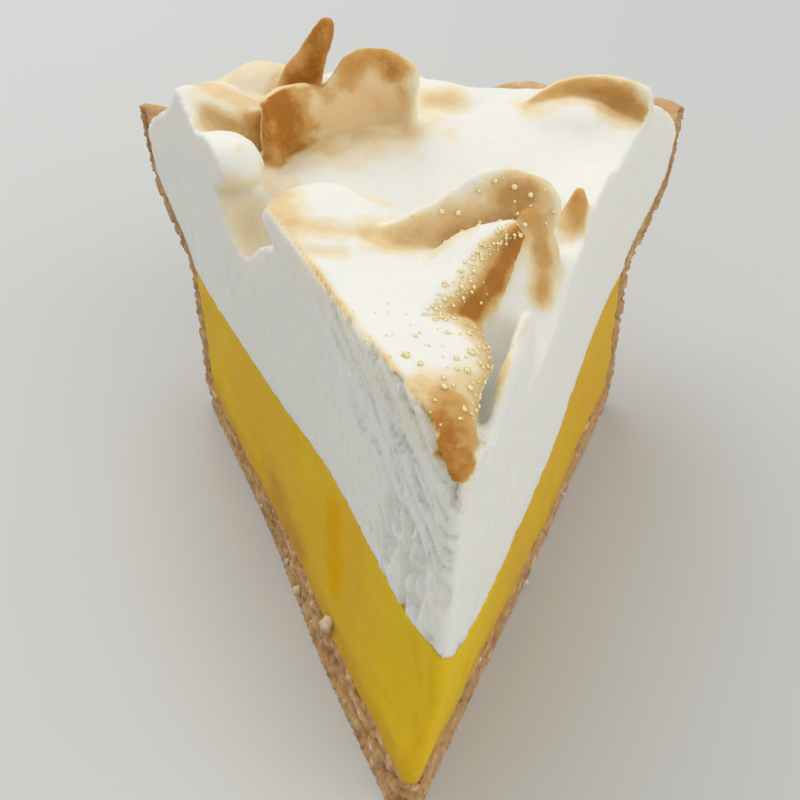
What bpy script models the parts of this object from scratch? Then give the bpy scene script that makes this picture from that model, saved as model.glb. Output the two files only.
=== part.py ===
"""A cut slice of lemon meringue pie: pastry case, lemon filling and browned meringue.

Metres, +Z up. The slice stands on its flat pastry base with its point towards -Y and the crimped
rim towards +Y. Every shape is laid out from the pie's centre, where the two cuts meet, and then
moved so that the origin is under the middle of the slice.
"""

import math

import bmesh
import bpy
from mathutils import Matrix, Vector

MM = 0.001

# Driving dimensions. Radii are from the pie's centre.
SLICE_ANGLE = math.radians(45)  # an eighth of a round pie
TIP_RADIUS = 0.0015  # the point is blunt
PIE_CENTRE = Vector((-0.0004, -0.0599, 0.0))  # where the two cuts meet, in the part's frame
GAP = 0.0003  # between touching layers

PASTRY = 0.0044  # thickness of the pastry
FOOT_RADIUS = 0.0918  # middle of the pastry, at the foot of its wall
SHOULDER_RADIUS = 0.0932
SHOULDER_HEIGHT = 0.0285  # where the wall turns out into the lip
LIP_RADIUS = 0.1120
LIP_HEIGHT = 0.0335
RIM_RADIUS = 0.1165
RIM_HEIGHT = 0.0425
FOOT_ROUND = 0.0050
SHOULDER_ROUND = 0.0050
LIP_ROUND = 0.0040
PINCHES = 32  # thumb crimps round the whole pie
PINCH_OUT = 0.0013
PINCH_UP = 0.0010
PINCH_START = 0.0060  # how far inside the lip the crimps begin
PINCH_TURN = 0.6  # where the first one stands, in radians

FILLING_TOP = 0.0284
FILLING_ROLL = 0.0006
ROLL_TURNS = (160.0, 120.0)  # radians in a metre, across and along
ROLL_START = 1.0  # where the roll across begins, in radians
FILLING_SAG = 0.0040  # along the right cut
SAG_WIDTH = 0.0080
SAG_START, SAG_END = (0.001, 0.010), (0.016, 0.036)
FILLING_SWELL = 0.0030  # along the left cut
SWELL_AT, SWELL_LENGTH, SWELL_WIDTH = 0.0360, 0.0150, 0.0120
FILLING_PEAK = 0.0036  # at the point, left of the right cut
PEAK_END, PEAK_START = (0.005, 0.014), (0.000, 0.002)
WAVE_DEPTH = 0.0020  # how far under its top the filling moves too
WAVE_END = (0.070, 0.085)  # radii over which the top turns level
FILLING_STEPS = 14  # faces along the top, from the centre out
BED_CORNERS = ((0.135, 0.046), (0.135, -0.010), (0.0, -0.010))  # outside the rim, under the floor

# The front of the slice has settled to the right, more so further up.
LEAN_AT_FILLING = 0.0033
LEAN_AT_TOP = 0.0017  # more than that, at the top of the point
LEAN_POWER = 0.8  # under 1, so that it starts quickly above the floor
LEAN_FADES = (0.029, 0.081)  # distances from the centre over which it goes
TOP_LEAN_FADES = (0.001, 0.025)
MERINGUE_TOP = 0.062  # the front lobe
RIM_LEAN = 0.0006  # at the rim, at any height
SPREAD = 0.0011  # how far each cut bows outwards at the rim
SPREAD_FROM = (0.078, 0.106)  # distances over which both grow

# The knife crushed the pastry, so each cut spreads at the floor, most at the point, and the foot of
# the point stands a little to the left.
FOOT_SPREAD = 0.0015
FOOT_HEIGHT = 0.0060
FOOT_FADES = (0.022, 0.066)
FOOT_LOST = 0.7  # share of the spread that goes towards the rim
FOOT_ROUNDING = 0.56  # how much blunter the point is there, for each metre of spread
FOOT_LEAN = 0.0009
FOOT_LEAN_FADES = (0.020, 0.055)
FOOT_LEAN_HEIGHTS = (0.004, 0.016)

# The meringue under its folds: a floor of this height, rounded down to the rim.
MASS_HEIGHT = 0.0530
MASS_EDGE_HEIGHT = 0.0370
MASS_FALL = (0.088, 0.1160)  # radii over which it rounds down to the rim
FALL_BEND, FALL_END = 2.5, 0.6  # powers that shape that fall: level first, then steep
MOUND_POWER = 1.3  # over 1, so that a mound has a flatter top and steeper sides

# The block that carries it: half its width, where it starts, its length and its underside.
MASS_SIDE = 0.056
MASS_START = -0.012
MASS_LENGTH = 0.130
MASS_FLOOR = 0.018

# Mounds and hollows on that floor: centre x and y, height, half widths, turn in degrees.
MOUNDS = (
    (-0.0080, 0.0290, 0.0075, 0.0120, 0.0250, 12),  # under the front lobe
    (0.0030, 0.0080, 0.0070, 0.0060, 0.0090, -8),  # under the lobe's point
    (0.0080, 0.0400, 0.0060, 0.0060, 0.0065, -20),  # under the crest
    (0.0135, 0.0460, 0.0050, 0.0050, 0.0040, 0),  # under the flap
    (0.0175, 0.0450, 0.0030, 0.0040, 0.0040, -22),  # right flank, behind the tongue
    (0.0245, 0.0530, 0.0045, 0.0030, 0.0060, -22),  # right flank, further back
    (0.0270, 0.0640, 0.0055, 0.0060, 0.0070, -22),
    (0.0100, 0.0190, -0.0040, 0.0021, 0.0090, -24),  # gutter beside the front lobe
    (-0.0195, 0.0615, -0.0070, 0.0080, 0.0045, -20),  # crevice behind the front lobe
    (-0.0305, 0.0760, 0.0030, 0.0050, 0.0035, 20),  # under the left lump
    (-0.0345, 0.0800, 0.0056, 0.0034, 0.0060, 0),  # the cut edge behind it
    (-0.0260, 0.0860, 0.0040, 0.0070, 0.0026, 0),  # back of the slot under the brow
    (-0.0310, 0.0890, 0.0040, 0.0090, 0.0060, 20),  # back left
    (0.0000, 0.0860, 0.0040, 0.0160, 0.0130, 0),  # back middle
    (0.0300, 0.0900, 0.0030, 0.0120, 0.0100, -20),  # back right
)

# The folds on it, in millimetres: the way the width runs, then stations along the fold, each its
# middle, width, thickness and cup.
FOLDS = {
    "front lobe": ((1.0, 0.25, -0.06), (
        ((-14.0, 58.6, 59.6), 8.6, 5.2, 0.0),
        ((-12.0, 53.6, 60.3), 18.6, 6.6, 0.0),
        ((-7, 42, 59.4), 29.0, 6.8, 0.0),
        ((-3, 30, 60.2), 23.0, 6.3, 0.0),
        ((0.4, 20, 62.4), 18.4, 5.5, 0.0),
        ((2.2, 13, 62.8), 11.2, 5.4, 0.0),
        ((3.5, 7.0, 61.4), 7.0, 5.4, 0.0),
        ((4.7, 3.6, 59.6), 4.8, 4.6, 0.0),
        ((5.1, 1.4, 58.4), 3.0, 3.6, 0.0),
    )),
    "crest": ((-0.75, 0.6, -0.25), (
        ((-1.6, 31.0, 60.6), 11.0, 4.0, 0.0),
        ((1.4, 35.0, 61.4), 12.0, 4.2, 0.0),
        ((5.0, 39.3, 62.3), 10.5, 4.0, 0.0),
        ((9.0, 42.0, 64.2), 6.4, 3.2, 0.0),
        ((13.4, 42.9, 66.2), 2.4, 1.8, 0.0),
    )),
    "crest face": ((-0.65, 0.20, 0.70), (
        ((3.2, 24.6, 59.0), 4.0, 2.8, 0.0),
        ((4.9, 28.2, 59.8), 6.4, 3.2, 0.0),
        ((6.6, 32.2, 60.5), 7.0, 3.2, 0.0),
        ((9.0, 36.2, 61.2), 5.8, 2.8, 0.0),
        ((11.3, 39.6, 63.0), 3.8, 2.2, 0.0),
        ((13.8, 42.0, 65.6), 1.8, 1.4, 0.0),
    )),
    "inner fold": ((1.0, 0.3, 0.0), (
        ((12.6, 40.5, 56.5), 5.0, 3.4, 0.0),
        ((13.8, 43.0, 60.0), 4.4, 3.2, 0.0),
        ((14.4, 44.8, 63.0), 3.4, 2.6, 0.0),
        ((14.6, 46.4, 65.6), 2.4, 2.0, 0.0),
    )),
    "curtain": ((0.0, 0.1, 1.0), (
        ((9.3, 13.0, 48.0), 10.0, 2.4, 0.0),
        ((10.0, 16.6, 51.6), 12.0, 2.6, 0.0),
        ((10.9, 19.6, 54.0), 13.6, 2.6, 0.0),
        ((12.0, 23.4, 56.4), 14.0, 2.6, 0.0),
        ((13.2, 28.0, 56.4), 13.0, 2.6, 0.0),
        ((14.4, 33.0, 54.0), 10.0, 2.6, 0.0),
    )),
    "flap": ((0.1, 0.25, 1.0), (
        ((-6.5, 46.2, 60.4), 3.0, 2.5, 0.0),
        ((0, 48, 61.5), 5.6, 3.2, 0.0),
        ((5.0, 49.2, 62.3), 8.0, 3.6, -0.6),
        ((9.8, 50, 63.4), 12.0, 3.6, -1.0),
        ((13.2, 49.6, 63.6), 12.8, 3.4, -0.6),
        ((15.4, 48.2, 62.9), 12.2, 2.8, 0.0),
        ((16.4, 46.8, 61.4), 7.0, 2.2, 0.0),
    )),
    "tongue": ((1.0, 0.3, 0.0), (
        ((15.6, 47.2, 66.0), 3.2, 2.4, 0.0),
        ((16.2, 45.2, 62.4), 3.0, 2.6, 0.0),
        ((16.6, 43.2, 59.0), 3.0, 2.6, 0.0),
        ((16.2, 41.2, 56.6), 2.4, 2.4, 0.0),
        ((16.0, 39.8, 54.6), 1.2, 1.6, 0.0),
    )),
    "tongue edge": ((1.0, 0.4, 0.0), (
        ((16.8, 47.4, 66.0), 1.4, 1.8, 0.0),
        ((17.8, 45.8, 62.6), 1.8, 2.0, 0.0),
        ((18.6, 44.8, 60.0), 1.9, 2.0, 0.0),
        ((18.2, 43.6, 58.2), 1.2, 1.6, 0.0),
    )),
    "petal": ((0.0, 0.05, 1.0), (
        ((-20.8, 75.8, 57.0), 13.2, 2.8, 0.0),
        ((-19.2, 78.6, 57.2), 13.2, 2.7, 0.0),
        ((-15.5, 81.4, 56.8), 12.8, 2.6, -0.6),
        ((-12.0, 83.0, 57.0), 13.0, 2.5, -1.0),
        ((-8.5, 84.8, 58.6), 16.8, 2.4, -1.4),
        ((-5.2, 85.4, 59.6), 19.4, 2.3, -1.4),
        ((-2.6, 85.0, 57.8), 14.4, 2.4, -0.8),
        ((-0.8, 83.7, 56.0), 8.6, 2.6, 0.0),
        ((0.2, 81.4, 54.0), 4.0, 2.6, 0.0),
    )),
    "tall curl": ((1.0, 0.2, -0.1), (
        ((-17.6, 88.4, 56.0), 10.0, 4.5, 0.0),
        ((-16.4, 87.9, 62.0), 7.4, 3.2, 0.8),
        ((-14.0, 87.3, 67.6), 4.4, 2.6, 0.8),
        ((-11.8, 86.8, 72.2), 2.3, 1.8, 0.0),
    )),
    "left lump": ((0.15, 1.0, -0.25), (
        ((-34.0, 73.5, 56.8), 9.0, 7.0, 0.0),
        ((-29.5, 72.6, 57.4), 10.0, 7.4, 0.0),
        ((-26.4, 71.8, 57.4), 10.6, 7.8, 0.0),
        ((-24.2, 71.6, 57.2), 9.6, 7.6, 0.0),
        ((-22.8, 72.6, 57.0), 6.0, 6.0, 0.0),
    )),
    "brow": ((0.6, 0.8, 0.0), (
        ((-34.0, 89.0, 57.4), 7.0, 3.6, -0.4),
        ((-30.8, 86.4, 59.8), 8.0, 3.2, -0.5),
        ((-26.6, 84.0, 59.8), 8.0, 3.0, -0.5),
        ((-23.2, 82.8, 59.2), 7.0, 2.8, -0.3),
        ((-19.5, 83.4, 59.8), 5.0, 2.6, 0.0),
    )),
    "brow tuck": ((0.0, 0.2, 1.0), (
        ((-31.0, 82.2, 58.4), 3.0, 2.2, 0.0),
        ((-28.0, 81.6, 57.6), 5.0, 2.8, 0.0),
        ((-24.6, 81.0, 57.0), 5.0, 2.8, 0.0),
        ((-21.4, 80.4, 57.4), 4.0, 2.6, 0.0),
    )),
    "back fold": ((0.0, 1.0, 0.3), (
        ((-38, 93, 49.6), 8.0, 5.0, 0.0),
        ((-33, 94, 52.6), 8.0, 5.0, 0.0),
        ((-28.5, 94.6, 55.2), 8.0, 4.8, 0.0),
        ((-23, 94.6, 57.4), 8.0, 4.5, 0.0),
        ((-13, 93, 56.6), 6.0, 4.0, 0.0),
    )),
    "swirl": ((0.2, 1.0, 0.3), (
        ((-3, 97, 52.6), 6.0, 5.0, 0.0),
        ((4, 92, 55.4), 8.0, 6.0, 0.0),
        ((11, 91, 54.2), 7.0, 5.0, 0.0),
        ((16, 95, 51.6), 6.0, 4.0, 0.0),
    )),
    "low fold": ((0.1, 1.0, -0.5), (
        ((-20, 103, 48.5), 8.0, 6.0, 0.0),
        ((-9, 106, 49.5), 10.0, 7.0, 0.0),
        ((3, 107, 48.0), 8.0, 6.0, 0.0),
    )),
    "arch": ((0.0, -0.35, 1.0), (
        ((16.4, 89.4, 54.8), 3.0, 2.4, 0.0),
        ((20.0, 90.8, 56.4), 3.6, 2.6, -0.3),
        ((24.0, 92.0, 57.8), 4.6, 2.8, -0.6),
        ((28.5, 92.4, 57.6), 7.0, 3.0, -1.0),
        ((32.5, 91.6, 57.0), 9.4, 3.2, -1.0),
        ((36.0, 89.6, 55.8), 10.0, 3.0, -0.6),
        ((38.6, 87.8, 53.0), 7.0, 2.8, 0.0),
    )),
    "right shelf": ((0.0, 1.0, 0.0), (
        ((15.0, 86.8, 53.0), 8.0, 5.0, 0.0),
        ((20.0, 87.0, 54.2), 10.0, 6.6, 0.0),
        ((25.0, 87.4, 54.6), 11.0, 6.8, 0.0),
        ((28.6, 87.6, 54.2), 9.0, 6.0, 0.0),
        ((31.0, 87.6, 53.0), 4.0, 4.0, 0.0),
    )),
    "small peak": ((1.0, 0.0, 0.0), (
        ((22.3, 56.4, 54.0), 6.4, 6.0, 0.0),
        ((22.3, 55.8, 57.6), 5.0, 4.4, 0.0),
        ((22.4, 55.6, 60.8), 3.2, 2.8, 0.0),
        ((22.5, 55.4, 63.6), 1.3, 1.2, 0.0),
    )),
}

# Fineness, and how far the shapes run past the slice before they are cut.
TURNED_REACH = math.radians(100)  # to each side of +Y
ARC_STEP = math.radians(2.5)
RIM_TURNS = (45, 90, 135)  # degrees round the rounded rim
CUT_FAR = 0.130  # distance from the centre
CUT_STEPS, CUT_CROWDING = 20, 1.2  # faces along each cut, closer together near the point
CUT_LEVELS = (-0.005, 0.0, FOOT_HEIGHT, 0.010, 0.016, 0.022, 0.028, 0.036, 0.045, 0.054, 0.063,
              0.095)
TIP_TURNS = (-0.6, -0.3, 0.0, 0.3, 0.6)  # radians round the blunt point
WELD = 1e-6
MASS_STEP = 0.0015
FOLD_AHEAD = 0.05  # share of a station step used to find which way a fold runs
VOXEL = 0.0009
SOFTENING = 2  # passes after the folds are joined
MERINGUE_KEPT = 0.048  # share of the triangles kept after the folds are joined


def smooth(low, high, value):
    """0 below low, 1 above high, and an S between."""
    share = min(max((value - low) / (high - low), 0.0), 1.0)
    return share * share * (3.0 - 2.0 * share)


def material(name, colour, roughness):
    """A plain Principled material."""
    made = bpy.data.materials.new(name)
    made.use_nodes = True
    shader = made.node_tree.nodes["Principled BSDF"]
    shader.inputs["Base Color"].default_value = (*colour, 1.0)
    shader.inputs["Roughness"].default_value = roughness
    shader.inputs["Metallic"].default_value = 0.0
    return made


def add_object(name, bm, finish=None, parent=None):
    """Puts a bmesh, laid out from the pie's centre, into the scene."""
    bmesh.ops.recalc_face_normals(bm, faces=bm.faces)
    mesh = bpy.data.meshes.new(name)
    bm.to_mesh(mesh)
    bm.free()
    if finish:
        mesh.materials.append(finish)
    made = bpy.data.objects.new(name, mesh)
    made.parent = parent
    bpy.context.collection.objects.link(made)
    return made


def as_cutter(made):
    """A cutter is drawn as wire and isn't part of the slice."""
    made.hide_render = True
    made.display_type = "WIRE"
    return made


def cut(made, operation, cutter):
    """Adds an exact Boolean."""
    boolean = made.modifiers.new(operation.title(), "BOOLEAN")
    boolean.operation = operation
    boolean.solver = "EXACT"
    boolean.object = cutter


# Outlines in the plane of a cut: points are (radius, height).


def rounded_path(corners, rounds, steps=4):
    """The corners joined by straight lines, with each inner corner turned into an arc."""
    path = [Vector(corners[0])]
    for before, corner, after, radius in zip(corners, corners[1:], corners[2:], rounds):
        corner = Vector(corner)
        back = (Vector(before) - corner).normalized()
        on = (Vector(after) - corner).normalized()
        half = back.angle(on) / 2.0
        middle = corner + (back + on).normalized() * (radius / math.sin(half))
        start = corner + back * (radius / math.tan(half)) - middle
        end = corner + on * (radius / math.tan(half)) - middle
        turn = start.angle_signed(end)
        for step in range(steps + 1):
            angle = -turn * step / steps
            path.append(middle + Matrix.Rotation(angle, 2) @ start)
    path.append(Vector(corners[-1]))
    return path


def side_line(path, distance):
    """The path moved sideways, to its left for a positive distance."""
    moved = []
    for index, point in enumerate(path):
        along = path[min(index + 1, len(path) - 1)] - path[max(index - 1, 0)]
        along.normalize()
        moved.append(point + Vector((-along.y, along.x)) * distance)
    return moved


def pastry_middle():
    """The middle line of the pastry, from the centre to the top of the rim."""
    corners = (
        (0.0, PASTRY / 2.0),
        (FOOT_RADIUS, PASTRY / 2.0),
        (SHOULDER_RADIUS, SHOULDER_HEIGHT),
        (LIP_RADIUS, LIP_HEIGHT),
        (RIM_RADIUS, RIM_HEIGHT),
    )
    return rounded_path(corners, (FOOT_ROUND, SHOULDER_ROUND, LIP_ROUND))


def pastry_outline():
    """The pastry's section, with a round edge on the rim."""
    middle = pastry_middle()
    inner = side_line(middle, PASTRY / 2.0)
    outer = side_line(middle, -PASTRY / 2.0)
    end = middle[-1]
    out = outer[-1] - end
    edge = [end + Matrix.Rotation(math.radians(turn), 2) @ out for turn in RIM_TURNS]
    return outer + edge + inner[::-1]


def wall_crossing(line, height):
    """Where a line that climbs the pastry wall reaches the given height."""
    for low, high in zip(line, line[1:]):
        if low.y < height <= high.y:
            return low.lerp(high, (height - low.y) / (high.y - low.y))
    raise ValueError("the line never reaches that height")


def filling_outline():
    """The space inside the pastry, a gap from it, up to a level top."""
    line = side_line(pastry_middle(), PASTRY / 2.0 + GAP)
    edge = wall_crossing(line, FILLING_TOP)
    below = [point for point in line if point.y < FILLING_TOP and point.x < edge.x + GAP]
    level = [Vector((edge.x * step / FILLING_STEPS, FILLING_TOP))
             for step in range(FILLING_STEPS - 1, -1, -1)]
    return below + [edge] + level


def bed_outline():
    """What the meringue lies on: the filling and the pastry, both a gap thicker."""
    line = side_line(pastry_middle(), PASTRY / 2.0 + GAP)
    top = FILLING_TOP + GAP
    edge = wall_crossing(line, top)
    level = [Vector((edge.x * step / FILLING_STEPS, top)) for step in range(FILLING_STEPS)]
    above = [point for point in line if point.y > top]
    end = pastry_middle()[-1]
    out = above[-1] - end
    over = [end + Matrix.Rotation(math.radians(-turn), 2) @ out for turn in RIM_TURNS]
    return level + [edge] + above + over + [Vector(corner) for corner in BED_CORNERS]


def crimp(point, angle):
    """The rim's thumb crimps: a wave that grows from the lip to the rim."""
    share = smooth(LIP_RADIUS - PINCH_START, RIM_RADIUS, point.x)
    wave = math.cos(PINCHES * angle + PINCH_TURN)
    return Vector((point.x + PINCH_OUT * share * wave, point.y + PINCH_UP * share * wave))


def filling_wave(x, y):
    """How far the filling's top is from level: it rolls, sags, swells and peaks."""
    across, along = ROLL_TURNS
    roll = FILLING_ROLL * (math.sin(x * across + ROLL_START) + math.sin(y * along))
    reach = y * math.tan(SLICE_ANGLE / 2.0)
    from_right = reach - (x - lean(y, FILLING_TOP))
    from_left = reach + (x - lean(y, FILLING_TOP))
    front = smooth(*SAG_START, y) * (1.0 - smooth(*SAG_END, y))
    sag = FILLING_SAG * front * math.exp(-((from_right / SAG_WIDTH) ** 2))
    ahead = (y - SWELL_AT) / SWELL_LENGTH
    swell = FILLING_SWELL * math.exp(-(ahead**2) - (from_left / SWELL_WIDTH) ** 2)
    peak = FILLING_PEAK * (1.0 - smooth(*PEAK_END, y)) * smooth(*PEAK_START, from_right)
    return roll - sag + swell + peak


def top_wave(point, angle):
    """The filling's top isn't level."""
    inside = 1.0 - smooth(*WAVE_END, point.x)
    on_top = smooth(FILLING_TOP - WAVE_DEPTH, FILLING_TOP, point.y) * inside
    x, y = point.x * math.sin(angle), point.x * math.cos(angle)
    return Vector((point.x, point.y + on_top * filling_wave(x, y)))


def turned(outline, shape):
    """A closed outline turned about the centre to both sides of +Y, with flat ends."""
    bm = bmesh.new()
    count = 2 * math.ceil(TURNED_REACH / ARC_STEP)
    rings = []
    for index in range(count + 1):
        angle = TURNED_REACH * (2.0 * index / count - 1.0)
        ring = []
        for point in outline:
            placed = shape(point, angle)
            at = (placed.x * math.sin(angle), placed.x * math.cos(angle), placed.y)
            ring.append(bm.verts.new(at))
        rings.append(ring)
    for ring, following in zip(rings, rings[1:]):
        for index in range(len(outline)):
            after = (index + 1) % len(outline)
            bm.faces.new((ring[index], ring[after], following[after], following[index]))
    bm.faces.new(rings[0])
    bm.faces.new(rings[-1])
    bmesh.ops.remove_doubles(bm, verts=bm.verts, dist=WELD)
    return bm


# The two cuts.


def lean(y, z):
    """How far to the right the slice has settled, at a distance from the centre and a height."""
    low = (min(max(z, 0.0) / FILLING_TOP, 1.0)) ** LEAN_POWER
    high = min(max((z - FILLING_TOP) / (MERINGUE_TOP - FILLING_TOP), 0.0), 1.0)
    low_share = 1.0 - smooth(*LEAN_FADES, y)
    high_share = 1.0 - smooth(*TOP_LEAN_FADES, y)
    at_rim = RIM_LEAN * smooth(*SPREAD_FROM, y)
    at_foot = FOOT_LEAN * (1.0 - smooth(*FOOT_LEAN_FADES, y)) * (1.0 - smooth(*FOOT_LEAN_HEIGHTS, z))
    return LEAN_AT_FILLING * low * low_share + LEAN_AT_TOP * high * high_share + at_rim - at_foot


def foot(y, z):
    """How far the foot of each cut is pushed outwards."""
    share = 1.0 - min(max(z / FOOT_HEIGHT, 0.0), 1.0)
    return FOOT_SPREAD * (1.0 - FOOT_LOST * smooth(*FOOT_FADES, y)) * share


def slice_outline(z):
    """A level section of the space between the two cuts."""
    half = SLICE_ANGLE / 2.0
    radius = TIP_RADIUS + FOOT_ROUNDING * foot(0.0, z)
    nose = radius / math.sin(half) - foot(0.0, z) / math.tan(half)
    start = nose - radius * math.sin(half)
    right = [start + (CUT_FAR - start) * (step / CUT_STEPS) ** CUT_CROWDING
             for step in range(CUT_STEPS + 1)]
    points = [Vector((y * math.tan(half) + SPREAD * smooth(*SPREAD_FROM, y) + foot(y, z), y))
              for y in right]
    tip = [Vector((0.0, nose)) + radius * Vector((math.sin(t), -math.cos(t))) for t in TIP_TURNS]
    left = [Vector((-point.x, point.y)) for point in reversed(points)]
    return [(point.x + lean(point.y, z), point.y, z) for point in left + tip + points]


def slice_space():
    """The space between the two cuts, as a closed solid."""
    bm = bmesh.new()
    rings = [[bm.verts.new(at) for at in slice_outline(z)] for z in CUT_LEVELS]
    for ring, following in zip(rings, rings[1:]):
        for index in range(len(ring)):
            after = (index + 1) % len(ring)
            bm.faces.new((ring[index], ring[after], following[after], following[index]))
    bm.faces.new(rings[0])
    bm.faces.new(rings[-1])
    return bm


# The meringue.


def mass_height(x, y):
    """Height of the meringue under its folds."""
    start, end = MASS_FALL
    share = min(max((math.hypot(x, y) - start) / (end - start), 0.0), 1.0)
    height = MASS_EDGE_HEIGHT + (MASS_HEIGHT - MASS_EDGE_HEIGHT) * (1.0 - share**FALL_BEND) ** FALL_END
    for centre_x, centre_y, rise, across, along, turn in MOUNDS:
        angle = math.radians(turn)
        dx, dy = x - centre_x, y - centre_y
        u = (dx * math.cos(angle) + dy * math.sin(angle)) / across
        v = (dy * math.cos(angle) - dx * math.sin(angle)) / along
        height += rise * math.exp(-0.5 * (u * u + v * v) ** MOUND_POWER)
    return height


def add_mass(bm):
    """The mass as a closed block under a grid of heights."""
    columns = [-MASS_SIDE + MASS_STEP * index for index in range(int(2.0 * MASS_SIDE / MASS_STEP) + 1)]
    rows = [MASS_START + MASS_STEP * index for index in range(int(MASS_LENGTH / MASS_STEP) + 1)]
    top = [[bm.verts.new((x, y, mass_height(x, y))) for x in columns] for y in rows]
    floor = [[bm.verts.new((x, y, MASS_FLOOR)) for x in columns] for y in rows]
    for grid in (top, floor):
        for row, following in zip(grid, grid[1:]):
            for index in range(len(row) - 1):
                bm.faces.new((row[index], row[index + 1], following[index + 1], following[index]))
    for high, low in ((top[0], floor[0]), (top[-1], floor[-1])):
        for index in range(len(high) - 1):
            bm.faces.new((high[index], high[index + 1], low[index + 1], low[index]))
    for side in (0, -1):
        for index in range(len(rows) - 1):
            high, low = top[index][side], floor[index][side]
            bm.faces.new((high, top[index + 1][side], floor[index + 1][side], low))


def between(values, position):
    """Catmull-Rom value at a position, in steps between the values."""
    index = min(int(position), len(values) - 2)
    share = position - index
    before = values[max(index - 1, 0)]
    start, end = values[index], values[index + 1]
    after = values[min(index + 2, len(values) - 1)]
    curve = (2.0 * before - 5.0 * start + 4.0 * end - after) * share * share
    bend = (3.0 * start - before - 3.0 * end + after) * share**3
    return 0.5 * (2.0 * start + (end - before) * share + curve + bend)


def add_fold(bm, stations, across, steps=5, sides=12):
    """A fold of meringue: a flattened tube along the stations, with rounded ends.

    Each station is its middle, width, thickness and cup; across is the way the width runs. A cup
    bends both edges towards the fold's face.
    """
    middles = [Vector(station[0]) for station in stations]
    widths = [station[1] for station in stations]
    thicknesses = [station[2] for station in stations]
    cups = [station[3] for station in stations]
    last = len(stations) - 1
    rings = []
    count = last * steps
    for index in range(count + 1):
        place = index / steps
        middle = between(middles, place)
        ahead = between(middles, min(place + FOLD_AHEAD, last))
        ahead -= between(middles, max(place - FOLD_AHEAD, 0))
        ahead.normalize()
        wide = Vector(across)
        wide = (wide - ahead * wide.dot(ahead)).normalized()
        face = wide.cross(ahead)
        half = between(widths, place) / 2.0
        deep = between(thicknesses, place) / 2.0
        cup = between(cups, place)
        ring = []
        for side in range(sides):
            angle = 2.0 * math.pi * side / sides
            out, up = math.cos(angle), math.sin(angle)
            offset = wide * (half * out) + face * (deep * up + cup * out * out)
            ring.append(bm.verts.new(middle + offset))
        rings.append(ring)
    for ring, following in zip(rings, rings[1:]):
        for index in range(sides):
            after = (index + 1) % sides
            bm.faces.new((ring[index], ring[after], following[after], following[index]))
    bm.faces.new(rings[0])
    bm.faces.new(rings[-1])


def meringue_shape():
    """Every fold and the mass, each a closed shape of its own, overlapping."""
    bm = bmesh.new()
    add_mass(bm)
    for across, stations in FOLDS.values():
        placed = [(Vector(middle) * MM, width * MM, thick * MM, cup * MM)
                  for middle, width, thick, cup in stations]
        add_fold(bm, placed, across)
    return bm


def main():
    for old in list(bpy.data.objects):
        bpy.data.objects.remove(old)

    slice_frame = bpy.data.objects.new("pie_centre", None)
    slice_frame.location = PIE_CENTRE
    bpy.context.collection.objects.link(slice_frame)

    space = as_cutter(add_object("between_the_cuts", slice_space(), parent=slice_frame))
    bed = turned(bed_outline(), lambda point, angle: top_wave(crimp(point, angle), angle))
    bed = as_cutter(add_object("bed", bed, parent=slice_frame))

    pastry_finish = material("baked pastry", (0.62, 0.42, 0.22), 0.75)
    crust = turned(pastry_outline(), crimp)
    crust = add_object("crust", crust, pastry_finish, slice_frame)
    cut(crust, "INTERSECT", space)

    lemon_finish = material("lemon filling", (0.72, 0.45, 0.05), 0.35)
    filling = turned(filling_outline(), top_wave)
    filling = add_object("filling", filling, lemon_finish, slice_frame)
    cut(filling, "INTERSECT", space)

    meringue_finish = material("baked meringue", (0.88, 0.84, 0.76), 0.60)
    meringue = add_object("meringue", meringue_shape(), meringue_finish, slice_frame)
    join = meringue.modifiers.new("Join the folds", "REMESH")
    join.mode = "VOXEL"
    join.voxel_size = VOXEL
    soften = meringue.modifiers.new("Soften", "SMOOTH")
    soften.iterations = SOFTENING
    thin = meringue.modifiers.new("Fewer faces", "DECIMATE")
    thin.ratio = MERINGUE_KEPT
    cut(meringue, "INTERSECT", space)
    cut(meringue, "DIFFERENCE", bed)

    for made in (crust, filling, meringue):
        made.data.shade_smooth()


main()
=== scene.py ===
"""A cut slice of lemon meringue pie: its fine surfaces and finishes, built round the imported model.

Metres, +Z up. The slice stands with its point towards -Y and its crimped rim towards +Y. Shapes are
laid out from the middle of the whole pie, where the two cuts meet, and moved into the frame's place
at the end. Run as a script it builds every piece and the stage in order; the panel in the 3D view's
sidebar lists the same steps.
"""

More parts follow.
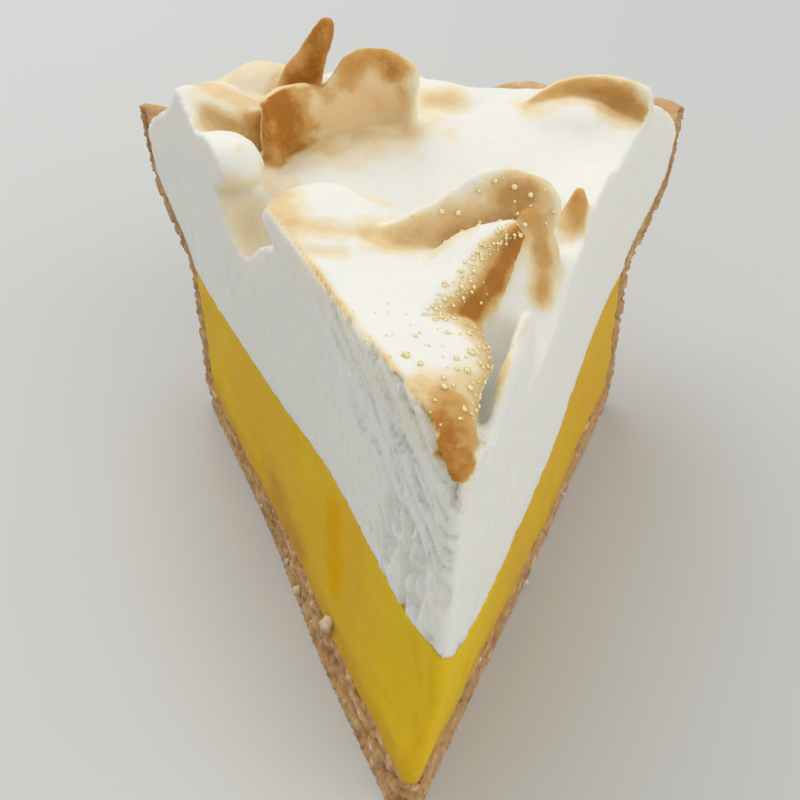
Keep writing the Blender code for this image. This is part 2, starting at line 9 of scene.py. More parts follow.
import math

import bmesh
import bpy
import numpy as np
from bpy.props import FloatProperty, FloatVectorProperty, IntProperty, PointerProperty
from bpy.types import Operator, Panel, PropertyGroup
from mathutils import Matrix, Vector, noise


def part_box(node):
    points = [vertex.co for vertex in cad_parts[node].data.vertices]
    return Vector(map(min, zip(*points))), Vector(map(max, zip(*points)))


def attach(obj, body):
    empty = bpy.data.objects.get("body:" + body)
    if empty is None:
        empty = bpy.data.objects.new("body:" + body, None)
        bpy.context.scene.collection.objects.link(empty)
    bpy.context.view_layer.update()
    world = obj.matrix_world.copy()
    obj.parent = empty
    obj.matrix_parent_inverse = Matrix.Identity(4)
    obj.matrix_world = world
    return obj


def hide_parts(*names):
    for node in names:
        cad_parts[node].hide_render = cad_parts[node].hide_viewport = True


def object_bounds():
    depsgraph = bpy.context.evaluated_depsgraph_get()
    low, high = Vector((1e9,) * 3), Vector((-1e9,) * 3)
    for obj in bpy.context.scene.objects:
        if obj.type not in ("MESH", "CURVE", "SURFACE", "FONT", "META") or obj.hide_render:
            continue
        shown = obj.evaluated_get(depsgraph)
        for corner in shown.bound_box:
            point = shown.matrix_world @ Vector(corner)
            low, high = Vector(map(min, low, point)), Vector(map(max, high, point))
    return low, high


bl_info = {
    "name": "Lemon Meringue Pie Slice",
    "version": (1, 0, 0),
    "blender": (4, 5, 0),
    "location": "3D View > Sidebar > Pie Slice",
    "description": "Builds a slice of lemon meringue pie: crust, filling, meringue, syrup and crumbs",
    "category": "Add Mesh",
}

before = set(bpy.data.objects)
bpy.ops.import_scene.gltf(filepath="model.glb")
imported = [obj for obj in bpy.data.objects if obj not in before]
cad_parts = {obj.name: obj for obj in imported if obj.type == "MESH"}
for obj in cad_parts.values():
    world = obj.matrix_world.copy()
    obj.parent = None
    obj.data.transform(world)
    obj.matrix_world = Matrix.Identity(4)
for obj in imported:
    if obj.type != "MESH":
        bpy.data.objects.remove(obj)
CAD_LOW, CAD_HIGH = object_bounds()
CRUST_LOW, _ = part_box("crust")

MM = 0.001
PIE_X = -0.0004  # where the two cuts meet
BODY = "root"
BOX_MARGIN = 0.00005  # how far every piece stays inside the CAD box


# ---------------------------------------------------------------- what a user would change


def length(name, description, default):
    """A size in metres."""
    return FloatProperty(name=name, description=description, default=default, min=0.0,
                         unit="LENGTH", precision=4)


def colour(name, description, default):
    """A colour."""
    return FloatVectorProperty(name=name, description=description, default=default, size=3,
                               min=0.0, max=1.0, subtype="COLOR")


class PIE_sizes(PropertyGroup):
    """The slice's own sizes. Radii are from the middle of the whole pie."""

    slice_angle: FloatProperty(name="Slice angle", description="Between the two cuts",
                               default=math.radians(45), subtype="ANGLE")
    tip_radius: length("Point radius", "How blunt the slice's point is", 0.0015)
    pastry: length("Pastry thickness", "Thickness of the pastry case", 0.0044)
    foot_radius: length("Foot radius", "Middle of the pastry, at the foot of its wall", 0.0918)
    shoulder_radius: length("Shoulder radius", "Where the wall turns out", 0.0932)
    shoulder_height: length("Shoulder height", "Where the wall turns out", 0.0285)
    lip_radius: length("Lip radius", "Where the lip turns up", 0.1120)
    lip_height: length("Lip height", "Where the lip turns up", 0.0335)
    rim_radius: length("Rim radius", "Top of the crimped rim", 0.1165)
    rim_height: length("Rim height", "Top of the crimped rim", 0.0425)
    filling_top: length("Filling height", "Top of the lemon filling", 0.0284)
    fineness: length("Fineness", "Edge of the smallest faces on cut and baked surfaces", 0.00047)


class PIE_crust_looks(PropertyGroup):
    """Finish of the pastry."""

    pale: colour("Pale pastry", "Where the pastry is least baked", (0.86, 0.69, 0.46))
    golden: colour("Golden pastry", "Most of the pastry", (0.66, 0.40, 0.18))
    brown: colour("Browned pastry", "Edges and blisters", (0.42, 0.20, 0.065))
    crumble: length("Crumble depth", "How deep the cut pastry breaks", 0.0006)


class PIE_filling_looks(PropertyGroup):
    """Finish of the lemon filling."""

    golden: colour("Golden curd", "Most of the filling", (0.80, 0.465, 0.032))
    lemon: colour("Lemon curd", "Lighter parts, near the point", (0.83, 0.535, 0.020))
    deep: colour("Deep curd", "Streaks where the curd is thin and wet", (0.80, 0.42, 0.000))
    stain: colour("Stained curd", "Where it has taken up the pastry's colour", (0.60, 0.28, 0.040))
    smear: length("Smear depth", "Relief that the knife leaves in the curd", 0.00025)


class PIE_meringue_looks(PropertyGroup):
    """Finish of the meringue."""

    white: colour("White meringue", "Inside, and where it is least baked", (0.90, 0.885, 0.82))
    cream: colour("Cream", "First colour of baking", (0.89, 0.78, 0.56))
    tan: colour("Tan", "Baked ridges", (0.82, 0.62, 0.33))
    caramel: colour("Caramel", "Well baked ridges and points", (0.66, 0.385, 0.115))
    dark: colour("Dark caramel", "Thin curls and undersides", (0.45, 0.17, 0.010))
    tear: length("Tear depth", "How deep the knife tears the cut foam", 0.0009)
    ripple: length("Ripple height", "Soft waves on the baked surface", 0.0004)


class PIE_syrup_looks(PropertyGroup):
    """The golden beads that weep out of baked meringue."""

    amber: colour("Amber", "Colour of the syrup at its edges", (0.72, 0.43, 0.070))
    # painted highlight: the colour mixed into the middle of each bead, where it faces the camera
    bright: colour("Bright syrup", "Colour where light gathers in a bead", (1.0, 0.90, 0.50))
    smallest: length("Smallest bead", "Radius of the smallest bead", 0.00012)
    largest: length("Largest bead", "Radius of the largest bead", 0.00046)
    seed: IntProperty(name="Seed", description="Picks the beads' places", default=7)


class PIE_crumb_looks(PropertyGroup):
    """Crumbs of pastry that cling to the cuts."""

    crumb: colour("Crumb", "Colour of the crumbs", (0.84, 0.66, 0.44))
    count: IntProperty(name="Count", description="Number of small crumbs", default=9)
    seed: IntProperty(name="Seed", description="Picks the crumbs' places", default=11)


class PIE_stage_looks(PropertyGroup):
    """Floor, lights and camera."""

    floor: colour("Floor", "Colour of the floor", (0.62, 0.625, 0.615))
    window: FloatProperty(name="Window light", description="Power of the light behind", default=5.4,
                          min=0.0, subtype="POWER")
    fill: FloatProperty(name="Fill light", description="Power of the light in front", default=2.3,
                        min=0.0, subtype="POWER")
    air: FloatProperty(name="Ambient", description="Strength of the light all round", default=0.545,
                       min=0.0)
    lens: FloatProperty(name="Lens", description="Focal length in millimetres", default=65.25,
                        min=1.0)


# ---------------------------------------------------------------- small helpers


def smooth(low, high, value):
    """0 below low, 1 above high, and an S between. Works on numbers and arrays."""
    part = np.clip((value - low) / (high - low), 0.0, 1.0)
    return part * part * (3.0 - 2.0 * part)


def mm(*place):
    """A place given in millimetres."""
    return tuple(value * MM for value in place)


def pie_centre(sizes):
    """Where the two cuts meet, in the frame: a little in front of the crust's blunt point."""
    radius, middle = point_round(sizes, 0.0)
    return Vector((PIE_X, CRUST_LOW.y - float(middle - radius), 0.0))


def new_object(name, bm):
    """Puts a bmesh into the scene."""
    bmesh.ops.recalc_face_normals(bm, faces=bm.faces)
    mesh = bpy.data.meshes.new(name)
    bm.to_mesh(mesh)
    bm.free()
    made = bpy.data.objects.new(name, mesh)
    bpy.context.scene.collection.objects.link(made)
    return made


def cut(made, operation, cutter):
    """Adds an exact Boolean."""
    boolean = made.modifiers.new(operation.title(), "BOOLEAN")
    boolean.operation = operation
    boolean.solver = "EXACT"
    boolean.object = cutter


def remesh(made, size, softening):
    """Adds an even skin of small faces, softened."""
    skin = made.modifiers.new("Skin", "REMESH")
    skin.mode = "VOXEL"
    skin.voxel_size = size
    soft = made.modifiers.new("Soften", "SMOOTH")
    soft.iterations = softening


def apply_modifiers(made):
    """Leaves the mesh as its modifiers make it."""
    graph = bpy.context.evaluated_depsgraph_get()
    mesh = bpy.data.meshes.new_from_object(made.evaluated_get(graph))
    made.modifiers.clear()
    old = made.data
    made.data = mesh
    mesh.name = made.name
    bpy.data.meshes.remove(old)


def remove(*objects):
    """Takes helper objects out again."""
    for made in objects:
        mesh = made.data
        bpy.data.objects.remove(made)
        bpy.data.meshes.remove(mesh)


def points_of(mesh):
    """The mesh's points as an array."""
    flat = np.empty(len(mesh.vertices) * 3, np.float32)
    mesh.vertices.foreach_get("co", flat)
    return flat.reshape(-1, 3).astype(float)


def normals_of(mesh):
    """The mesh's point normals as an array."""
    flat = np.empty(len(mesh.vertices) * 3, np.float32)
    mesh.vertex_normals.foreach_get("vector", flat)
    return flat.reshape(-1, 3).astype(float)


def set_points(mesh, points):
    """Moves the mesh's points."""
    mesh.vertices.foreach_set("co", points.astype(np.float32).ravel())
    mesh.update()


def set_mask(mesh, name, values):
    """Stores a number for each point, for the materials."""
    mask = mesh.attributes.new(name, "FLOAT", "POINT")
    mask.data.foreach_set("value", np.asarray(values, np.float32))


# Noise patterns: the size of their features along each axis, their octaves and their seed. Those of a
# cut run along it, up it and across it.
FLAKES = ((0.0030, 0.0009, 0.01), 3, 3.1)  # of the cut pastry
CRUMBLES = ((0.0012, 0.0012, 0.0012), 2, 8.7)
BLISTERS = ((0.0060, 0.0060, 0.0060), 2, 5.3)
DRAG = ((0.0090, 0.0022, 0.01), 3, 1.7)  # of the knife in the curd
SLUMP = ((0.0200, 0.0120, 0.01), 2, 6.1)
TEARS = ((0.0020, 0.0058, 0.01), 3, 2.3)  # in the cut foam
HOLES = ((0.0020, 0.0034, 0.01), 3, 9.4)
TORN_PATCHES = ((0.0110, 0.0140, 0.01), 2, 4.4)
WAVES = ((0.0070, 0.0070, 0.0070), 2, 7.7)  # on the baked meringue
GRAIN = ((0.0020, 0.0020, 0.0020), 2, 1.2)
EDGE_PATCHES = ((0.0040, 0.0040, 0.0040), 2, 6.6)
PATCH_NOISE = ((0.0032, 0.0032, 0.0032), 3, 5.9)  # round a painted patch
NOISE_SHAPE = (0.9, 2.1)  # how much weaker and how much finer each octave is
SIDES_APART = 0.05  # keeps the noise of the two cuts apart


def noise_at(points, sizes, octaves, seed):
    """Cloudy noise from about -1 to 1, with features of the given sizes along each axis."""
    scaled = points / np.asarray(sizes) + seed
    return np.array([noise.fractal(point, *NOISE_SHAPE, octaves) for point in scaled])


def unit(way):
    """A direction of length 1."""
    return np.array(way) / np.linalg.norm(way)


def from_path(points, path):
    """Distance from each point to a path of straight pieces, given in millimetres."""
    nearest = np.full(len(points), np.inf)
    places = [np.array(mm(*place)) for place in path]
    for start, end in zip(places, places[1:]):
        step = end - start
        part = np.clip((points - start) @ step / (step @ step), 0.0, 1.0)
        gap = points - (start + part[:, None] * step)
        nearest = np.minimum(nearest, np.linalg.norm(gap, axis=1))
    return nearest


def place_piece(made, node, material, sizes):
    """Moves a finished piece from the pie's middle into the frame and inside the CAD box, gives it its
    material, hangs it under the body and hides the CAD part it stands for.
    """
    points = points_of(made.data) + np.array(pie_centre(sizes))
    low, high = np.array(CAD_LOW) + BOX_MARGIN, np.array(CAD_HIGH) - BOX_MARGIN
    low[2] = 0.0
    set_points(made.data, np.clip(points, low, high))
    made.data.materials.clear()
    made.data.materials.append(material)
    made.data.shade_smooth()
    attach(made, BODY)
    if node:
        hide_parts(node)


# ---------------------------------------------------------------- the pastry's section


def rounded_path(corners, rounds, steps=6):
    """The corners joined by straight lines, with each inner corner turned into an arc."""
    path = [Vector(corners[0])]
    for before, corner, after, radius in zip(corners, corners[1:], corners[2:], rounds):
        corner = Vector(corner)
        back = (Vector(before) - corner).normalized()
        on = (Vector(after) - corner).normalized()
        half = back.angle(on) / 2.0
        middle = corner + (back + on).normalized() * (radius / math.sin(half))
        start = corner + back * (radius / math.tan(half)) - middle
        end = corner + on * (radius / math.tan(half)) - middle
        turn = start.angle_signed(end)
        for step in range(steps + 1):
            path.append(middle + Matrix.Rotation(-turn * step / steps, 2) @ start)
    path.append(Vector(corners[-1]))
    return path


def side_line(path, distance):
    """The path moved sideways, to its left for a positive distance."""
    moved = []
    for index, point in enumerate(path):
        ahead = path[min(index + 1, len(path) - 1)] - path[max(index - 1, 0)]
        ahead.normalize()
        moved.append(point + Vector((-ahead.y, ahead.x)) * distance)
    return moved


FOOT_ROUND, SHOULDER_ROUND, LIP_ROUND = 0.0050, 0.0050, 0.0040
RIM_TURNS = range(30, 180, 30)  # degrees round the rounded rim
PINCHES = 32  # thumb crimps round the whole pie
PINCH_OUT, PINCH_UP = 0.0013, 0.0010
PINCH_START = 0.006  # how far inside the lip they begin
PINCH_TURN = 0.6  # where the first one stands, in radians
LEVEL_STEPS = 24  # faces along a level line
CORNER_SLACK = 0.0003  # how far past the wall's crossing a point under it may be
BED_CORNERS = ((0.135, 0.046), (0.135, -0.010), (0.0, -0.010))  # outside the rim, under the floor


def pastry_middle(sizes):
    """The middle line of the pastry, from the pie's middle to the top of the rim."""
    corners = (
        (0.0, sizes.pastry / 2.0),
        (sizes.foot_radius, sizes.pastry / 2.0),
        (sizes.shoulder_radius, sizes.shoulder_height),
        (sizes.lip_radius, sizes.lip_height),
        (sizes.rim_radius, sizes.rim_height),
    )
    return rounded_path(corners, (FOOT_ROUND, SHOULDER_ROUND, LIP_ROUND))


def pastry_outline(sizes):
    """The pastry's section, with a round edge on the rim."""
    middle = pastry_middle(sizes)
    inner = side_line(middle, sizes.pastry / 2.0)
    outer = side_line(middle, -sizes.pastry / 2.0)
    end = middle[-1]
    out = outer[-1] - end
    edge = [end + Matrix.Rotation(math.radians(turn), 2) @ out for turn in RIM_TURNS]
    return outer + edge + inner[::-1]


def wall_crossing(line, height):
    """Where a line that climbs the pastry wall reaches the given height."""
    for low, high in zip(line, line[1:]):
        if low.y < height <= high.y:
            return low.lerp(high, (height - low.y) / (high.y - low.y))
    raise ValueError("the line never reaches that height")


def inside_outline(sizes, inset, top):
    """The space inside the pastry, up to a level top, and inset from the pastry's inner face."""
    line = side_line(pastry_middle(sizes), sizes.pastry / 2.0 + inset)
    edge = wall_crossing(line, top)
    below = [point for point in line if point.y < top and point.x < edge.x + CORNER_SLACK]
    level = [Vector((edge.x * step / LEVEL_STEPS, top)) for step in range(LEVEL_STEPS - 1, -1, -1)]
    return below + [edge] + level


def bed_outline(sizes, inset):
    """What the meringue lies on: the filling and the pastry."""
    line = side_line(pastry_middle(sizes), sizes.pastry / 2.0 + inset)
    edge = wall_crossing(line, sizes.filling_top)
    level = [Vector((edge.x * step / LEVEL_STEPS, sizes.filling_top)) for step in range(LEVEL_STEPS)]
    above = [point for point in line if point.y > sizes.filling_top]
    end = pastry_middle(sizes)[-1]
    out = above[-1] - end
    over = [end + Matrix.Rotation(math.radians(-turn), 2) @ out for turn in RIM_TURNS]
    return level + [edge] + above + over + [Vector(corner) for corner in BED_CORNERS]


def crimp(sizes, point, angle):
    """The rim's thumb crimps: a wave that grows from the lip to the rim."""
    grown = float(smooth(sizes.lip_radius - PINCH_START, sizes.rim_radius, point.x))
    wave = math.cos(PINCHES * angle + PINCH_TURN)
    return Vector((point.x + PINCH_OUT * grown * wave, point.y + PINCH_UP * grown * wave))


# The curd's top isn't level. It rolls all over, sags along the right cut, swells along the left one
# and peaks at the point. Pairs are distances from the middle, or from the right cut, over which each
# comes or goes.
CURD_ROLL, ROLL_TURNS, ROLL_START = 0.0006, (160.0, 120.0), 1.0  # turns in radians in a metre
CURD_SAG, SAG_WIDTH, SAG_COMES, SAG_GOES = 0.0040, 0.008, (0.001, 0.010), (0.016, 0.036)
CURD_SWELL, SWELL_AT, SWELL_LENGTH, SWELL_WIDTH = 0.0030, 0.036, 0.015, 0.012
CURD_PEAK, PEAK_GOES, PEAK_COMES = 0.0036, (0.005, 0.014), (0.0, 0.002)
CURD_LEVEL = 0.028  # where the cuts are measured for all that
CUT_SLOPE = math.tan(math.radians(22.5))  # of a cut, away from the slice's middle
WAVE_DEPTH = 0.002  # how far under its top the curd moves too
WAVE_GOES = (0.070, 0.085)  # radii over which the top turns level


def curd_wave(x, y):
    """How far the curd's top is from level: it rolls, sags, swells and peaks."""
    across, along = ROLL_TURNS
    rolls = CURD_ROLL * (np.sin(x * across + ROLL_START) + np.sin(y * along))
    from_right = y * CUT_SLOPE - (x - lean(y, CURD_LEVEL))
    from_left = y * CUT_SLOPE + (x - lean(y, CURD_LEVEL))
    front = smooth(*SAG_COMES, y) * (1.0 - smooth(*SAG_GOES, y))
    sag = -CURD_SAG * front * np.exp(-((from_right / SAG_WIDTH) ** 2))
    away = ((y - SWELL_AT) / SWELL_LENGTH) ** 2
    swell = CURD_SWELL * np.exp(-away - (from_left / SWELL_WIDTH) ** 2)
    peak = CURD_PEAK * (1.0 - smooth(*PEAK_GOES, y)) * smooth(*PEAK_COMES, from_right)
    return rolls + sag + swell + peak


def curd_top(sizes, point, angle):
    """Lifts a point of the curd's top onto its wave."""
    inside = 1.0 - smooth(*WAVE_GOES, point.x)
    on_top = smooth(sizes.filling_top - WAVE_DEPTH, sizes.filling_top, point.y) * inside
    x, y = point.x * math.sin(angle), point.x * math.cos(angle)
    return Vector((point.x, point.y + float(on_top * curd_wave(x, y))))


TURNED_REACH, TURNED_STEP = math.radians(100), math.radians(1.0)  # to each side of +Y
WELD = 1e-6


def turned(outline, shape):
    """A closed outline turned about the pie's middle to both sides of +Y, with flat ends."""
    bm = bmesh.new()
    count = 2 * math.ceil(TURNED_REACH / TURNED_STEP)
    rings = []
    for index in range(count + 1):
        angle = TURNED_REACH * (2.0 * index / count - 1.0)
        ring = []
        for point in outline:
            placed = shape(point, angle)
            at = (placed.x * math.sin(angle), placed.x * math.cos(angle), placed.y)
            ring.append(bm.verts.new(at))
        rings.append(ring)
    close_rings(bm, rings)
    bmesh.ops.remove_doubles(bm, verts=bm.verts, dist=WELD)
    return bm


def close_rings(bm, rings):
    """Joins rings of points into a closed tube."""
    for ring, following in zip(rings, rings[1:]):
        for index in range(len(ring)):
            after = (index + 1) % len(ring)
            bm.faces.new((ring[index], ring[after], following[after], following[index]))
    bm.faces.new(rings[0])
    bm.faces.new(rings[-1])


# ---------------------------------------------------------------- the two cuts

LEAN_AT_FILLING = 0.0033
LEAN_AT_TOP = 0.0017  # more than that, at the top of the point
LEAN_POWER = 0.8  # under 1, so that it starts quickly above the floor
LEAN_FADES = (0.029, 0.081)
TOP_LEAN_FADES = (0.001, 0.025)
LEAN_HEIGHTS = (0.0284, 0.062)
RIM_LEAN = 0.0006  # at the rim, at any height
SPREAD = 0.0011  # how far each cut bows outwards at the rim
SPREAD_FROM = (0.078, 0.106)
FOOT_SPREAD, FOOT_HEIGHT = 0.0015, 0.0060  # how far the crushed pastry spreads at the floor
FOOT_ROUNDING = 0.56  # how much blunter the point is there, for each metre of spread
FOOT_FADES = (0.022, 0.066)
FOOT_LOST = 0.7  # share of that spread that goes towards the rim
FOOT_LEAN = 0.0009  # how far to the left the foot of the point stands
FOOT_LEAN_FADES, FOOT_LEAN_HEIGHTS = (0.020, 0.055), (0.004, 0.016)
CUT_FAR = 0.130  # how far out the space between the cuts runs
CUT_STEPS, CUT_CROWDING = 30, 1.3  # faces along each cut, closer together near the point
CUT_LEVELS = [-0.005] + [0.003 * step for step in range(24)] + [0.095]
TIP_TURNS = range(-56, 57, 14)  # degrees round the blunt point


def lean(y, z):
    """How far to the right the slice has settled, at a distance from the middle and a height."""
    filling, top = LEAN_HEIGHTS
    low = np.clip(z / filling, 0.0, 1.0) ** LEAN_POWER
    high = np.clip((z - filling) / (top - filling), 0.0, 1.0)
    low_share = 1.0 - smooth(*LEAN_FADES, y)
    high_share = 1.0 - smooth(*TOP_LEAN_FADES, y)
    at_rim = RIM_LEAN * smooth(*SPREAD_FROM, y)
    at_foot = FOOT_LEAN * (1.0 - smooth(*FOOT_LEAN_FADES, y))
    at_foot = at_foot * (1.0 - smooth(*FOOT_LEAN_HEIGHTS, z))
    return LEAN_AT_FILLING * low * low_share + LEAN_AT_TOP * high * high_share + at_rim - at_foot


def foot(y, z):
    """How far the foot of each cut is pushed outwards, where the knife crushed the pastry."""
    near_floor = 1.0 - np.clip(z / FOOT_HEIGHT, 0.0, 1.0)
    return FOOT_SPREAD * (1.0 - FOOT_LOST * smooth(*FOOT_FADES, y)) * near_floor


def spread(y, z):
    """How far each cut bows outwards at a distance from the middle and a height."""
    return SPREAD * smooth(*SPREAD_FROM, y) + foot(y, z)


def point_round(sizes, z):
    """The rounding of the slice's point at a height: its radius, and where its middle is."""
    half = sizes.slice_angle / 2.0
    radius = sizes.tip_radius + FOOT_ROUNDING * foot(0.0, z)
    return radius, radius / math.sin(half) - foot(0.0, z) / math.tan(half)


def slice_outline(sizes, z):
    """A level section of the space between the two cuts."""
    half = sizes.slice_angle / 2.0
    radius, nose = (float(value) for value in point_round(sizes, z))
    start = nose - radius * math.sin(half)
    right = [start + (CUT_FAR - start) * (step / CUT_STEPS) ** CUT_CROWDING
             for step in range(CUT_STEPS + 1)]
    points = [Vector((y * math.tan(half) + float(spread(y, z)), y)) for y in right]
    turns = [math.radians(turn) for turn in TIP_TURNS]
    tip = [Vector((radius * math.sin(turn), nose - radius * math.cos(turn)))
           for turn in turns]
    left = [Vector((-point.x, point.y)) for point in reversed(points)]
    return [(point.x + float(lean(point.y, z)), point.y, z) for point in left + tip + points]


def slice_space(sizes):
    """The space between the two cuts, as a closed solid."""
    bm = bmesh.new()
    rings = [[bm.verts.new(at) for at in slice_outline(sizes, z)] for z in CUT_LEVELS]
    close_rings(bm, rings)
    return bm


def cut_depth(sizes, points):
    """How far each point is inside the nearer cut, how far along, its side and the way it faces."""
    half = sizes.slice_angle / 2.0
    y, z = points[:, 1], points[:, 2]
    radius, nose = point_round(sizes, z)
    x = points[:, 0] - lean(y, z)
    side = np.sign(x)
    flat = y * math.sin(half) - (np.abs(x) - spread(y, z)) * math.cos(half)
    from_nose = np.column_stack((x, y - nose, 0.0 * x))
    reach = np.linalg.norm(from_nose, axis=1)
    on_nose = y < nose - np.abs(x) * math.tan(half)
    level = np.column_stack((side * math.cos(half), -math.sin(half) + 0.0 * x, 0.0 * x))
    facing = np.where(on_nose[:, None], from_nose / reach[:, None], level)
    return np.where(on_nose, radius - reach, flat), y / math.cos(half), side, facing


# ---------------------------------------------------------------- the meringue

MASS_HEIGHT, MASS_EDGE_HEIGHT = 0.0530, 0.0370
MASS_FALL = (0.088, 0.1160)  # radii over which it rounds down to the rim
FALL_BEND, FALL_END = 2.5, 0.6  # powers that shape that fall: level first, then steep
MOUND_POWER = 1.3  # over 1, so that a mound has a flatter top and steeper sides
MASS_STEP = 0.0011
MASS_COLUMNS, MASS_ROWS, MASS_FLOOR = (-0.056, 0.0561), (-0.012, 0.118), 0.018
MOUNDS = (  # centre x and y, height, half widths, turn in degrees
    (-0.0080, 0.0290, 0.0075, 0.0120, 0.0250, 12),  # under the front lobe
    (0.0030, 0.0080, 0.0070, 0.0060, 0.0090, -8),  # under the lobe's point
    (0.0080, 0.0400, 0.0060, 0.0060, 0.0065, -20),  # under the crest
    (0.0135, 0.0460, 0.0050, 0.0050, 0.0040, 0),  # under the flap
    (0.0175, 0.0450, 0.0030, 0.0040, 0.0040, -22),  # right flank, behind the tongue
    (0.0245, 0.0530, 0.0045, 0.0030, 0.0060, -22),  # right flank, further back
    (0.0270, 0.0640, 0.0055, 0.0060, 0.0070, -22),
    (0.0100, 0.0190, -0.0040, 0.0021, 0.0090, -24),  # gutter beside the front lobe
    (-0.0195, 0.0615, -0.0070, 0.0080, 0.0045, -20),  # crevice behind the front lobe
    (-0.0305, 0.0760, 0.0030, 0.0050, 0.0035, 20),  # under the left lump
    (-0.0345, 0.0800, 0.0056, 0.0034, 0.0060, 0),  # the cut edge behind it
    (-0.0260, 0.0860, 0.0040, 0.0070, 0.0026, 0),  # back of the slot under the brow
    (-0.0310, 0.0890, 0.0040, 0.0090, 0.0060, 20),  # back left
    (0.0000, 0.0860, 0.0040, 0.0160, 0.0130, 0),  # back middle
    (0.0300, 0.0900, 0.0030, 0.0120, 0.0100, -20),  # back right
)


def mass_height(x, y):
    """Height of the meringue under its folds."""
    start, end = MASS_FALL
    part = np.clip((np.hypot(x, y) - start) / (end - start), 0.0, 1.0)
    height = MASS_EDGE_HEIGHT + (MASS_HEIGHT - MASS_EDGE_HEIGHT) * (1.0 - part**FALL_BEND) ** FALL_END
    for centre_x, centre_y, rise, across, deep, turn in MOUNDS:
        angle = math.radians(turn)
        dx, dy = x - centre_x, y - centre_y
        u = (dx * math.cos(angle) + dy * math.sin(angle)) / across
        v = (dy * math.cos(angle) - dx * math.sin(angle)) / deep
        height = height + rise * np.exp(-0.5 * (u * u + v * v) ** MOUND_POWER)
    return height


def add_mass(bm):
    """The mass as a closed block under a grid of heights."""
    columns, rows = np.arange(*MASS_COLUMNS, MASS_STEP), np.arange(*MASS_ROWS, MASS_STEP)
    heights = mass_height(columns[None, :], rows[:, None])
    top = [[bm.verts.new((x, y, z)) for x, z in zip(columns, line)]
           for y, line in zip(rows, heights)]
    floor = [[bm.verts.new((x, y, MASS_FLOOR)) for x in columns] for y in rows]
    for grid in (top, floor):
        for row, following in zip(grid, grid[1:]):
            for index in range(len(row) - 1):
                bm.faces.new((row[index], row[index + 1], following[index + 1], following[index]))
    for high, low in ((top[0], floor[0]), (top[-1], floor[-1])):
        for index in range(len(high) - 1):
            bm.faces.new((high[index], high[index + 1], low[index + 1], low[index]))
    for side in (0, -1):
        for index in range(len(rows) - 1):
            high, low = top[index][side], floor[index][side]
            bm.faces.new((high, top[index + 1][side], floor[index + 1][side], low))


def between(values, position):
    """Catmull-Rom value at a position, in steps between the values."""
    index = min(int(position), len(values) - 2)
    part = position - index
    before = values[max(index - 1, 0)]
    start, end = values[index], values[index + 1]
    after = values[min(index + 2, len(values) - 1)]
    curve = (2.0 * before - 5.0 * start + 4.0 * end - after) * part * part
    bend = (3.0 * start - before - 3.0 * end + after) * part**3
    return 0.5 * (2.0 * start + (end - before) * part + curve + bend)


FOLD_STEPS, FOLD_SIDES = 8, 20  # rings from one station to the next, and points round each
FOLD_AHEAD = 0.05  # share of a station step used to find which way a fold runs


def add_fold(bm, stations, across):
    """A fold of meringue: a flattened tube along the stations, closed at both ends.

    Each station is its middle's x, y and z, its width and thickness, in millimetres, and its cup, where
    it has one; across is the way the width runs. A cup bends both edges towards the fold's face.
    """
    stations = [(*station, 0.0)[:6] for station in stations]
    middles = [Vector(mm(*station[:3])) for station in stations]
    widths, thicknesses, cups = ([station[at] * MM for station in stations] for at in (3, 4, 5))
    last = len(stations) - 1
    rings = []
    for index in range(last * FOLD_STEPS + 1):
        place = index / FOLD_STEPS
        middle = between(middles, place)
        ahead = between(middles, min(place + FOLD_AHEAD, last))
        ahead -= between(middles, max(place - FOLD_AHEAD, 0))
        ahead.normalize()
        wide = Vector(across)
        wide = (wide - ahead * wide.dot(ahead)).normalized()
        face = wide.cross(ahead)
        half = between(widths, place) / 2.0
        deep = between(thicknesses, place) / 2.0
        cup = between(cups, place)
        ring = []
        for side in range(FOLD_SIDES):
            angle = 2.0 * math.pi * side / FOLD_SIDES
            out, up = math.cos(angle), math.sin(angle)
            offset = wide * (half * out) + face * (deep * up + cup * out * out)
            ring.append(bm.verts.new(middle + offset))
        rings.append(ring)
    close_rings(bm, rings)


